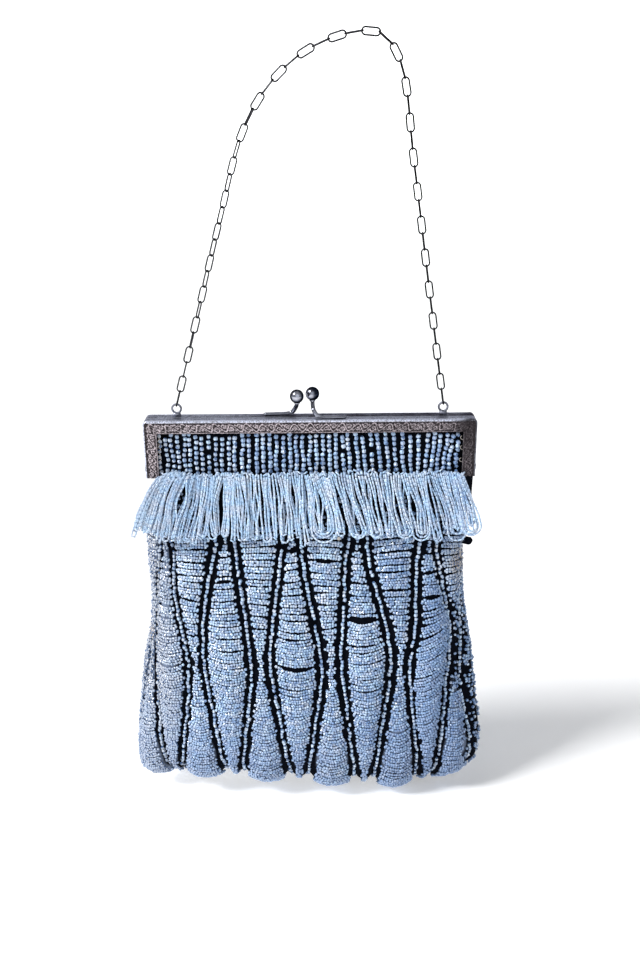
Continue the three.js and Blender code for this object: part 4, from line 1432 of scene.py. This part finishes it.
def fringe_surface(back):
    """Two layers of loops of small beads: an outer one of nested clusters and a thinner inner one."""
    sizes = settings().beads
    rng = np.random.default_rng(FRINGE_SEED + back)
    layers = [fringe_loops(rng, layer, FRINGE_BACK_FAN if back else 1) for layer in FRINGE_LAYERS]
    loops = {name: np.concatenate([layer[name] for layer in layers]) for name in layers[0]}
    bend, strand, turn = loop_lengths(loops)
    pitch = sizes.fringe_length / MM
    string, share = spread(np.rint((2 * bend + 2 * strand + turn) / pitch).astype(int), rng)
    one = {name: column[string] for name, column in loops.items()}
    centre = loop_point(one, share)
    axis = loop_point(one, np.minimum(share + 0.004, 1)) - loop_point(one, np.maximum(share - 0.004, 0))
    outward = np.broadcast_to([0.0, -1.0, 0.0], centre.shape) + 0.001 * axis
    radius = sizes.fringe_radius / MM * rng.uniform(0.93, 1.07, len(share))
    strand_tint = rng.beta(0.9, 0.8, len(strand))[string]
    # Painted shade: the fringe's beads darken towards its right end, away from the key light
    tint = 0.7 * strand_tint + 0.3 * rng.beta(1.1, 0.9, len(share)) - 0.28 * smooth(centre[:, 0], 50, 62)
    points, faces, values = beads(centre, axis, outward, pitch, radius, np.clip(tint, 0, 1), end=0.95)
    values["waist"] = 0.25 + 0.75 * values["waist"]
    # Partly painted shade: the left end's greying, kept at about a third, also dims beads that the key light
    # from the left washes out
    values["aged"] = 0.35 * values["aged"]
    surface = points, faces, values
    return mirrored(surface) if back else surface


# Frame

SCROLL_PITCH = 3.5
BAND_MIDDLE = 3.4
BAND_HALF = 2.3
BAR_FILLET = 1.1
LEG_FILLET = 0.7
LOWER_FILLET = 5.8
BACK_SCROLL_START = 37.0

# The leaves of one wave of the scroll, by the columns x, y, tilt and size
SCROLL_LEAVES = (
    (-1.6, -1.35, 0.6, 0.75),
    (1.7, -1.25, -0.7, 0.75),
    (1.35, 0.85, 0.9, 0.5),
    (-1.3, 0.75, -0.8, 0.5),
)

# Steps along the arch: left leg, corner, bar, corner, right leg
ARCH_STEPS = (96, 5, 620, 5, 96)

# How dark the top is at the left, how much darker at the right, and where that comes, on the front and
# on the back
TOP_DARKENING = ((0.5, 0.06, (-30, 30)), (0.6, 0.4, (-50, 10)))

# Where the face grows a little darker and where it goes dark towards the right, and the least darkening of
# its upper fillet
FACE_DIMMING = (-10, 50)
FACE_DARK = (60, 68)
EDGE_DARK = (66, 72)
FILLET_DARKENING = 0.45


def scroll_relief(along, inward, fillet):
    """Height from 0 to 1 of a running scroll: a waving stem, a curl in each wave and leaves on both sides,
    on a pricked ground, between a broad plain fillet above and a thin one below."""
    cell = np.floor(along / SCROLL_PITCH)
    x = along - (cell + 0.5) * SCROLL_PITCH
    flip = np.where(cell % 2 == 0, 1.0, -1.0)
    y = flip * (inward - BAND_MIDDLE)
    uneven = np.sin(4.7 * cell)
    stem = ridge(y - (1.7 + 0.25 * uneven) * np.cos(np.pi * x / SCROLL_PITCH), 0.24)
    curl_x = x - 0.1 - 0.3 * np.sin(2.9 * cell)
    curl_y = y + 0.5 + 0.25 * uneven
    radius = np.hypot(curl_x, curl_y)
    turn = np.arctan2(curl_y, curl_x) / (2 * np.pi) + 0.5
    curl = ridge(radius - (1.15 + 0.15 * uneven - 0.6 * turn), 0.19)
    eye = ridge(radius, 0.33)
    leaves = np.zeros_like(along)
    for leaf_x, leaf_y, tilt, size in SCROLL_LEAVES:
        dx, dy = x - leaf_x, y - leaf_y
        long = dx * math.cos(tilt) + dy * math.sin(tilt)
        wide = dy * math.cos(tilt) - dx * math.sin(tilt)
        leaves = np.maximum(leaves, np.exp(-((long / size) ** 2) - (wide / (0.4 * size)) ** 2))
    band = np.clip((BAND_HALF + 0.15 - np.abs(inward - BAND_MIDDLE)) / 0.3, 0, 1)
    pricked = 0.3 * (np.sin(along * 5.3 + 2 * np.sin(inward * 4.1)) * np.sin(inward * 6.1 + along) > 0.1)
    motif = np.maximum.reduce([stem, 0.92 * curl, 0.85 * eye, 0.95 * leaves, pricked])
    fillets = np.maximum(0.75 * (inward < fillet), 0.8 * ridge(inward - LOWER_FILLET, 0.2))
    return np.clip(np.maximum(motif * band, fillets), 0, 1)


def arch_point(segment, share, inward):
    """A point in x and z on the arch at a distance inward from its outer edge. Segments run up the left
    leg, round its corner, along the bar, round the other corner and down the right leg."""
    radius = np.maximum(CORNER_RADIUS - inward, 0)
    start = np.maximum(CORNER_RADIUS, inward)
    leg = -start - (LEG_LENGTH - start) * np.where(segment == 0, 1 - share, share)
    angle = np.pi / 2 * share
    right = segment >= 3
    corner_x = np.where(right, radius * np.sin(angle), -radius * np.cos(angle))
    corner_z = np.where(right, radius * np.cos(angle), radius * np.sin(angle))
    middle = FRAME_HALF_WIDTH - start
    x = np.select(
        [segment == 0, segment == 1, segment == 2, segment == 3],
        [inward - FRAME_HALF_WIDTH, corner_x - middle, middle * (2 * share - 1), corner_x + middle],
        FRAME_HALF_WIDTH - inward,
    )
    z = np.select(
        [(segment == 0) | (segment == 4), segment == 2],
        [leg, -inward + 0 * share],
        corner_z - start,
    )
    return x, z


def frame_surface(back):
    """One half of the frame: an L-shaped section, its face raised in scrolls, carried along the arch."""
    relief = settings().metal.relief / MM
    face = np.linspace(0.35, BAR_HEIGHT - 0.15, 27)
    section = [(BAR_HEIGHT, FACE_Y - SHEET, 0), (BAR_HEIGHT, FACE_Y - 0.15, 0)]
    section += [(inward, FACE_Y, 1) for inward in face[::-1]]
    section += [(0.1, FACE_Y - 0.1, 0), (0, FACE_Y - 0.3, 0), (0, FACE_Y - 0.6, 0), (0, FACE_Y - 0.8, 0)]
    section += [(0, FACE_Y - 2, 0), (0, SEAM + 0.2, 0), (0.15, SEAM, 0)]
    section += [(SHEET, SEAM, 0), (SHEET, FACE_Y - SHEET, 0)]
    inward, depth, raised = np.array(section).T
    segment = np.repeat(np.arange(len(ARCH_STEPS)), ARCH_STEPS)[:, None]
    last = len(ARCH_STEPS) - 1
    shares = [np.linspace(0, 1, count, endpoint=order == last) for order, count in enumerate(ARCH_STEPS)]
    share = np.concatenate(shares)[:, None]
    x, z = arch_point(segment, share, np.broadcast_to(inward, (len(segment), len(inward))))
    along = run_along(np.stack([x.mean(axis=1), z.mean(axis=1)], axis=-1))[:, None]
    along = along + (BACK_SCROLL_START if back else 0)
    fillet = np.where(segment == 2, BAR_FILLET, LEG_FILLET)
    height = scroll_relief(along + 0 * x, inward + 0 * x, fillet) * raised
    y = -(depth + relief * height)
    # Painted highlight: the front top edge is at full brightness, for the bright line that light draws along
    # it
    edge = (inward < 0.2) & (depth > FACE_Y - 0.7)
    relief_and_highlight = np.select([raised > 0, edge], [height, 1.0 + 0 * height], 0.6)
    least, more, places = TOP_DARKENING[back]
    top_darkening = least + more * smooth(x, *places)
    face_darkening = 0.06 + 0.36 * smooth(x, *FACE_DIMMING) + 0.56 * smooth(x, *FACE_DARK)
    face_darkening = np.where(inward < fillet, np.maximum(face_darkening, FILLET_DARKENING), face_darkening)
    # Painted highlight: the face just below the top edge loses its darkening
    below_edge = smooth(inward + 0.06 * np.maximum(x - 62, 0), 0.5, 0.9)
    tarnish = np.select([raised > 0, edge], [face_darkening * below_edge, smooth(x, *EDGE_DARK)], top_darkening)
    plain = 1 - smooth(inward + 0 * x, fillet - 0.2, fillet + 0.1)
    faces = [grid_faces(*x.shape, wrap=True), end_caps(*x.shape)]
    values = {"relief": relief_and_highlight.ravel(), "tarnish": tarnish.ravel(), "plain": plain.ravel()}
    surface = np.stack([x, y, z], axis=-1).reshape(-1, 3), faces, values
    return mirrored(surface) if back else surface


# The barrel under each lug's ring, as (radius, place along it)
LUG_BARREL = ((0.05, -1.7), (0.85, -1.68), (1.12, -1.45), (1.15, 0), (1.12, 1.45), (0.85, 1.68), (0.05, 1.7))
LUG_BARREL_HEIGHT = 0.58

# The knot of thread under the fringe, as (radius, place along it), and the stitches: the heights between
# which they lie, and how many each side has
KNOT = ((0.05, -0.9), (0.6, -0.6), (0.85, 0), (0.55, 0.7), (0.05, 1.0))
KNOT_PLACE = (12.7, -14.4, -53.5)
KNOT_AXIS = (0.8, -0.1, 0.5)
STITCH_HEIGHTS = (8.2, 19.2)
STITCHES = ((-1, 5), (1, 3))
STITCH_WIRE = 0.14

# The tape's loose end as (x, radius) and its fold as (drop, radius), and where they lie
TAPE_END = ((68, 2.2), (74.6, 1.9), (75.3, 1.3), (75.6, 0.7))
TAPE_END_DROP = 60.4
TAPE_FOLD = ((22, 2.4), (28, 4.9), (40, 4.6), (47, 1.2))
TAPE_FOLD_X = 69.6


def lug_surfaces():
    """The ring and the barrel that hold each end of the chain."""
    made = []
    angle = np.linspace(0, 2 * np.pi, 28, endpoint=False)
    ring = LUG_RING_RADIUS * np.stack([np.cos(angle), 0 * angle, np.sin(angle)], axis=-1)
    for x in (-LUG_X, LUG_X):
        path = np.array([x, CHAIN_Y, LUG_RING_HEIGHT]) + ring
        made.append(tube(path, 1.2 * LUG_WIRE, 10, DEPTHWISE, closed=True))
        made.append(lathe(LUG_BARREL, np.array([x, CHAIN_Y, LUG_BARREL_HEIGHT]), np.array([1.0, 0, 0]), 18))
    return [with_values(surface, relief=0.7, tarnish=0.72, plain=1.0) for surface in made]


def stitch_surface():
    """Cream whip stitches over the inner edges of the legs, short arcs of thread from the frame to the
    cloth, and a knot under the fringe."""
    rng = np.random.default_rng(STITCH_SEED)
    made = []
    rise = np.linspace(0, np.pi, 9)
    for face in (-1, 1):
        for side, stitches in STITCHES:
            for height in np.linspace(*STITCH_HEIGHTS, stitches) + rng.uniform(-0.8, 0.8, stitches):
                reach = rng.uniform(1.0, 1.5)
                inner = FRAME_HALF_WIDTH - BAR_HEIGHT - reach * np.sin(rise)
                x = side * (inner + 0.9 * np.cos(rise) * 0.6 + 0.15)
                y = face * (FACE_Y - 0.45 + 0.5 * np.sin(rise) - 0.4 * rise / np.pi)
                z = -height + rng.uniform(-0.3, 0.3) - 0.9 * np.cos(rise)
                path = np.stack([x, y, z], axis=-1)
                made.append(tube(path, STITCH_WIRE, 6, (0.1, 1.0, 0.2)))
    made.append(lathe(KNOT, np.array(KNOT_PLACE), unit(np.array(KNOT_AXIS)), 10))
    return joined(made)


def side_tape_surface():
    """The side seam's black tape where it shows: a fold that bulges out under the right leg and, lower
    down, a short loose end. Both are flattened tubes whose radius swells and shrinks along the way."""
    x = np.linspace(TAPE_END[0][0], TAPE_END[-1][0], 11)
    loose = np.stack([x, 0.6 * np.sin(x), -TAPE_END_DROP - 0.1 * (x - x[0])], axis=-1)
    half = curve_through(TAPE_END, x)
    drop = np.linspace(TAPE_FOLD[0][0], TAPE_FOLD[-1][0], 16)
    fold = np.stack([TAPE_FOLD_X + 0 * drop, 0 * drop, -drop], axis=-1)
    bulge = curve_through(TAPE_FOLD, drop)
    return joined(
        [
            tube(loose, half, 12, (0.0, 0.1, 1.0), squash=0.3),
            tube(fold, bulge, 14, (1.0, 0.0, 0.0), squash=0.7),
        ]
    )


# Clasp

BALL_RADIUS = 3.1
BALL_HEIGHT = 10
BALL_LEAN = 2.2
ARM_RADIUS = 0.85
ARM_TARNISH = 0.35
ARM_LIFT = 0.1
NECK_STEPS = 40
NECK_RADIUS = ((0, 0.7), (0.25, 1.0), (0.6, 0.95), (1, 0.9))
TAIL_STEPS = 26
TAIL_HALF_WIDTH = 1.4
TAIL_ROUNDING = 1.2
COLLAR = ((0.02, -3.6), (0.95, -3.55), (1.3, -3.3), (1.38, -2.95), (1.25, -2.55), (0.02, -2.4))

# Each knob: where its ball, its neck's root and its tail's end lie across the bag, the half it is on, the
# way its ball faces where a bright reflection is painted on it, and how bright that painted reflection is
KNOBS = {
    "lock_knob_front": {
        "ball": 1.2,
        "root": 3.4,
        "tail": 16.4,
        "side": -1,
        "reflection_facing": (-0.5, -0.85, 0.1),
        "clean": 0.75,
    },
    "lock_knob_back": {
        "ball": -5.7,
        "root": -8.2,
        "tail": -21.0,
        "side": 1,
        "reflection_facing": (-0.08, -0.94, 0.34),
        "clean": 0.95,
    },
}


def knob_surface(ball, root, tail, side, reflection_facing, clean):
    """A flat tail on the frame, a neck that rises from it and a ball with a small collar at the neck's end.
    The ball's colour is a painted reflection: dark all round, as painted shade, and bright where it faces
    one way."""
    middle = side * (SEAM + 2.7)
    inward = math.copysign(1, ball - tail)
    centre = np.array([ball, -side * BALL_LEAN, BALL_HEIGHT])
    neck = spline(
        [
            (root - inward * 2.4, middle, ARM_LIFT + 0.75),
            (root, middle, ARM_LIFT + 1.15),
            (root + inward * 1.6, middle * 0.7, BALL_HEIGHT * 0.34),
            (ball, -side * BALL_LEAN * 0.7, BALL_HEIGHT * 0.68),
            centre,
        ],
        NECK_STEPS,
    )
    thick = curve_through(NECK_RADIUS, np.linspace(0, 1, NECK_STEPS))
    neck_tube = tube(neck, thick, 14, (0.0, 1.0, 0.05))
    x = np.linspace(tail, root + inward * ARM_RADIUS, TAIL_STEPS)
    rise = ARM_LIFT + np.linspace(0.45, 0.85, TAIL_STEPS)
    flat = np.stack([x, np.full(TAIL_STEPS, middle), rise], axis=-1)
    short = np.clip(1 - np.abs(x - tail) / TAIL_ROUNDING, 0, 1)
    half = TAIL_HALF_WIDTH * np.sqrt(np.clip(1 - short**2, 0.05, 1))
    taper = np.interp(np.abs(x - root), [0, 3], [0.72, 1])
    tail_tube = tube(flat, half * taper, 16, DEPTHWISE, squash=0.42)
    axis = unit(neck[-1] - neck[-8])
    turn = np.linspace(0, np.pi, 21)
    profile = [(max(BALL_RADIUS * math.sin(a), 0.02), -BALL_RADIUS * math.cos(a)) for a in turn]
    arm = joined([tail_tube, neck_tube, lathe(COLLAR, centre, axis, 20)])
    sphere = lathe(profile, centre, axis, 28)
    # Painted reflection: bright where the ball faces that way and dark elsewhere, the lit patch and dark rim
    # of a mirror ball
    bright = smooth(unit(sphere[0] - centre) @ unit(np.array(reflection_facing)), 0.58, 0.9)
    return joined([with_values(arm, tarnish=ARM_TARNISH), with_values(sphere, tarnish=1 - clean * bright)])


# Chain

def chain_surface():
    """Links along the route, each turned a quarter from the last, with a slow twist on the first strand. A
    link is a round wire along an oval: a half circle at each end, drawn apart to the link's length. Wire is
    darker at the links' ends, painted shade where links meet, and on the right strand."""
    route = spline(np.insert(CHAIN_ROUTE, 1, CHAIN_Y, axis=1), 4000)
    run = run_along(route)
    hook = 2 * LINK_WIRE - LINK_BITE
    pitch = (run[-1] - hook) / LINKS
    joints = points_along(route, run, hook / 2 + pitch * np.arange(LINKS + 1))
    along = unit(np.diff(joints, axis=0))
    middle = (joints[:-1] + joints[1:]) / 2
    order = np.arange(LINKS)
    swing = np.sin(np.pi * np.minimum((order + 0.5) / LINKS / CHAIN_TWIST_END, 1)) ** 2
    roll = ((order + 1) % 2) * np.pi / 2 + CHAIN_TWIST * swing
    level = np.array(DEPTHWISE)
    depth = level * np.cos(roll)[:, None] + np.cross(along, level) * np.sin(roll)[:, None]
    across = np.cross(along, depth)
    bend = LINK_WIDTH / 2 - LINK_WIRE
    stretch = (pitch + hook) / 2 - bend
    angle = np.linspace(0, 2 * np.pi, 24, endpoint=False) + np.pi / 24
    up = (bend * np.sin(angle) + stretch * np.sign(np.sin(angle)))[:, None]
    made = []
    for i in range(LINKS):
        path = middle[i] + across[i] * (bend * np.cos(angle))[:, None] + along[i] * up
        link = tube(path, 1.1 * LINK_WIRE, LINK_SIDES, depth[i], closed=True)
        # Painted shade at the links' ends, where each meets the next link
        dark = np.maximum(np.abs(np.sin(angle)) ** 3, 0.9 * smooth(middle[i, 0], *DARK_STRAND))
        made.append(with_values(link, tarnish=np.repeat(dark, LINK_SIDES)))
    return joined(made)


# Operators

FACES = ((False, "front"), (True, "back"))
PANELS = ((False, "lozenge", LOZENGE_SEED), (True, "hourglass", HOURGLASS_SEED))


class BAG_OT_cloth(bpy.types.Operator):
    """Sew the black cloth pouch"""

    bl_idname = "bag.cloth"
    bl_label = "Cloth pouch"

    def execute(self, context):
        cloth = add_piece("pouch_cloth", cloth_surface(), black_cloth_material(), "beaded_cloth", "pouch")
        return {"FINISHED"}


class BAG_OT_beads(bpy.types.Operator):
    """Sew the seed beads in the panels, the strings on the lines and the strings on the top panel"""

    bl_idname = "bag.beads"
    bl_label = "Bead work"

    def execute(self, context):
        glass = glass_bead_material("seed_bead_glass", settings().beads.pale, 0.9, 0.7)
        for back, face in FACES:
            for hourglass, panel, seed in PANELS:
                surface = panel_bead_surface(hourglass, back, seed)
                add_piece(f"{panel}_beads_{face}", surface, glass, "beaded_cloth", facets=True)
            add_piece(f"yoke_beads_{face}", yoke_surface(back), glass, "beaded_cloth", facets=True)
        add_piece("line_strings", line_string_surface(), glass, "beaded_cloth", facets=True)
        return {"FINISHED"}


class BAG_OT_fringe(bpy.types.Operator):
    """Hang the loop fringe on both faces"""

    bl_idname = "bag.fringe"
    bl_label = "Loop fringe"

    def execute(self, context):
        glass = glass_bead_material("fringe_bead_glass", settings().beads.strung, 0.46, 1.2)
        for back, face in FACES:
            add_piece(f"fringe_loops_{face}", fringe_surface(back), glass, "bead_fringe", f"fringe_{face}")
        return {"FINISHED"}


class BAG_OT_frame(bpy.types.Operator):
    """Cast the two halves of the ornamented frame and stitch the cloth to them"""

    bl_idname = "bag.frame"
    bl_label = "Purse frame"

    def execute(self, context):
        silver = frame_material()
        add_piece("frame_front_scrolls", frame_surface(False), silver, "frame", "frame_front")
        back = joined([frame_surface(True), *lug_surfaces()])
        add_piece("frame_back_scrolls", back, silver, "frame", "frame_back")
        add_piece("cream_threads", stitch_surface(), thread_material(), "beaded_cloth")
        add_piece("side_tape", side_tape_surface(), black_cloth_material(), "beaded_cloth")
        return {"FINISHED"}


class BAG_OT_clasp(bpy.types.Operator):
    """Shape the clasp's two knobs and give the hinge pins polished steel"""

    bl_idname = "bag.clasp"
    bl_label = "Clasp"

    def execute(self, context):
        metal = settings().metal
        steel = steel_material("polished_steel", metal.steel, metal.dark_reflection_steel, 0.12)
        for node, sizes in KNOBS.items():
            add_piece(f"{node}_polished", knob_surface(**sizes), steel, "steel", node)
        for node in ("hinge_pin_left", "hinge_pin_right"):
            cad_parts[node].data.materials.clear()
            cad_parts[node].data.materials.append(steel)
        return {"FINISHED"}


class BAG_OT_chain(bpy.types.Operator):
    """Link the carrying chain"""

    bl_idname = "bag.chain"
    bl_label = "Chain"

    def execute(self, context):
        shade = settings().metal.wire
        wire = steel_material("darkened_wire", shade, shaded(shade, 0.25), 0.22)
        add_piece("chain_links", chain_surface(), wire, "chain", "chain")
        return {"FINISHED"}


class BAG_OT_stage(bpy.types.Operator):
    """Lay the floor and backdrop, light them and set the camera"""

    bl_idname = "bag.stage"
    bl_label = "Stage"

    CAMERA = (4.3, -432.6, 127.1)
    CAMERA_DOWN = math.radians(20)
    CAMERA_ROLL = math.radians(0.43)
    FLOOR_SIZE = 3.0
    FLOOR_GAP = 0.8 * MM
    SKY = [(0.0, (0.6, 0.6, 0.62)), (0.5, (0.55, 0.57, 0.6)), (0.64, (0.9, 0.93, 1.0)), (1.0, (1, 1, 1))]

    def execute(self, context):
        self.add_floor()
        self.add_light(context)
        self.add_camera(context)
        return {"FINISHED"}

    def add_floor(self):
        floor = CAD_BOX[0][2] - self.FLOOR_GAP
        size = self.FLOOR_SIZE
        # The floor's glow is painted light under the bag; the backdrop's glow is its even white
        for name, corners, emission in (
            ("floor", [(-size, -size, 0), (size, -size, 0), (size, size, 0), (-size, size, 0)], 0.44),
            ("backdrop", [(-size, size, -1), (size, size, -1), (size, size, 3), (-size, size, 3)], 0.7),
        ):
            mesh = bpy.data.meshes.new(name)
            mesh.from_pydata([(x, y, z + floor) for x, y, z in corners], [], [(0, 1, 2, 3)])
            mesh.materials.append(stage_material(f"{name}_white", emission))
            stage = bpy.data.objects.new(name, mesh)
            bpy.context.scene.collection.objects.link(stage)

    def add_light(self, context):
        stage = settings().stage
        for name, energy, width, toward, tone in (
            ("key_light", stage.sun, 16, (-0.672, -0.285, 0.684), (1, 1, 1)),
            ("front_fill", stage.fill, 60, (0.15, -0.92, 0.36), (0.9, 0.95, 1.0)),
        ):
            lamp = bpy.data.lights.new(name, "SUN")
            lamp.energy = energy
            lamp.angle = math.radians(width)
            lamp.color = tone
            light = bpy.data.objects.new(name, lamp)
            light.rotation_euler = Vector(toward).to_track_quat("Z", "Y").to_euler()
            context.scene.collection.objects.link(light)
        world = bpy.data.worlds.new("studio")
        context.scene.world = world
        world.use_nodes = True
        shader = Shader(world.node_tree)
        place = shader.node("TexCoord", output=0)
        height = shader.node("SeparateXYZ", None, {0: place}, output=2)
        shade = shader.node("ValToRGB", {"stops": self.SKY}, {"Fac": shader.span(height, -1, 1)})
        background = world.node_tree.nodes["Background"]
        shader.feed(background.inputs["Color"], shade)
        background.inputs["Strength"].default_value = stage.sky
        context.scene.view_settings.view_transform = "Standard"

    def add_camera(self, context):
        camera = bpy.data.cameras.new("camera")
        camera.lens = settings().stage.lens
        camera.sensor_width = 36
        camera.clip_start = 0.01
        holder = bpy.data.objects.new("camera", camera)
        down, roll = self.CAMERA_DOWN, self.CAMERA_ROLL
        right = np.array([1.0, 0, 0])
        up = np.array([0, math.sin(down), math.cos(down)])
        back = np.array([0, -math.cos(down), math.sin(down)])
        turned = np.stack(
            [
                math.cos(roll) * right - math.sin(roll) * up,
                math.sin(roll) * right + math.cos(roll) * up,
                back,
            ],
            axis=1,
        )
        place = Matrix([list(row) for row in turned]).to_4x4()
        place.translation = (np.array(self.CAMERA) + FRAME_TOP) * MM
        holder.matrix_world = place
        context.scene.collection.objects.link(holder)
        context.scene.camera = holder


class BAG_PT_panel(bpy.types.Panel):
    """Lists the bag's pieces and settings"""

    bl_label = "Beaded bag"
    bl_idname = "BAG_PT_panel"
    bl_space_type = "VIEW_3D"
    bl_region_type = "UI"
    bl_category = "Beaded bag"

    def draw(self, context):
        bag = context.scene.beaded_bag
        for group in (bag.beads, bag.cloth, bag.metal, bag.stage):
            box = self.layout.box()
            for name in group.__annotations__:
                box.prop(group, name)
        for operator in OPERATORS:
            self.layout.operator(operator.bl_idname)


OPERATORS = (
    BAG_OT_stage,
    BAG_OT_cloth,
    BAG_OT_beads,
    BAG_OT_fringe,
    BAG_OT_frame,
    BAG_OT_clasp,
    BAG_OT_chain,
)
CLASSES = (
    BeadSettings,
    ClothSettings,
    MetalSettings,
    StageSettings,
    BagSettings,
    *OPERATORS,
    BAG_PT_panel,
)


def register():
    for made in CLASSES:
        bpy.utils.register_class(made)
    bpy.types.Scene.beaded_bag = bpy.props.PointerProperty(type=BagSettings)


def unregister():
    del bpy.types.Scene.beaded_bag
    for made in reversed(CLASSES):
        bpy.utils.unregister_class(made)


def main():
    register()
    bpy.ops.bag.stage()
    bpy.ops.bag.cloth()
    bpy.ops.bag.beads()
    bpy.ops.bag.fringe()
    bpy.ops.bag.frame()
    bpy.ops.bag.clasp()
    bpy.ops.bag.chain()


if __name__ == "__main__":
    main()
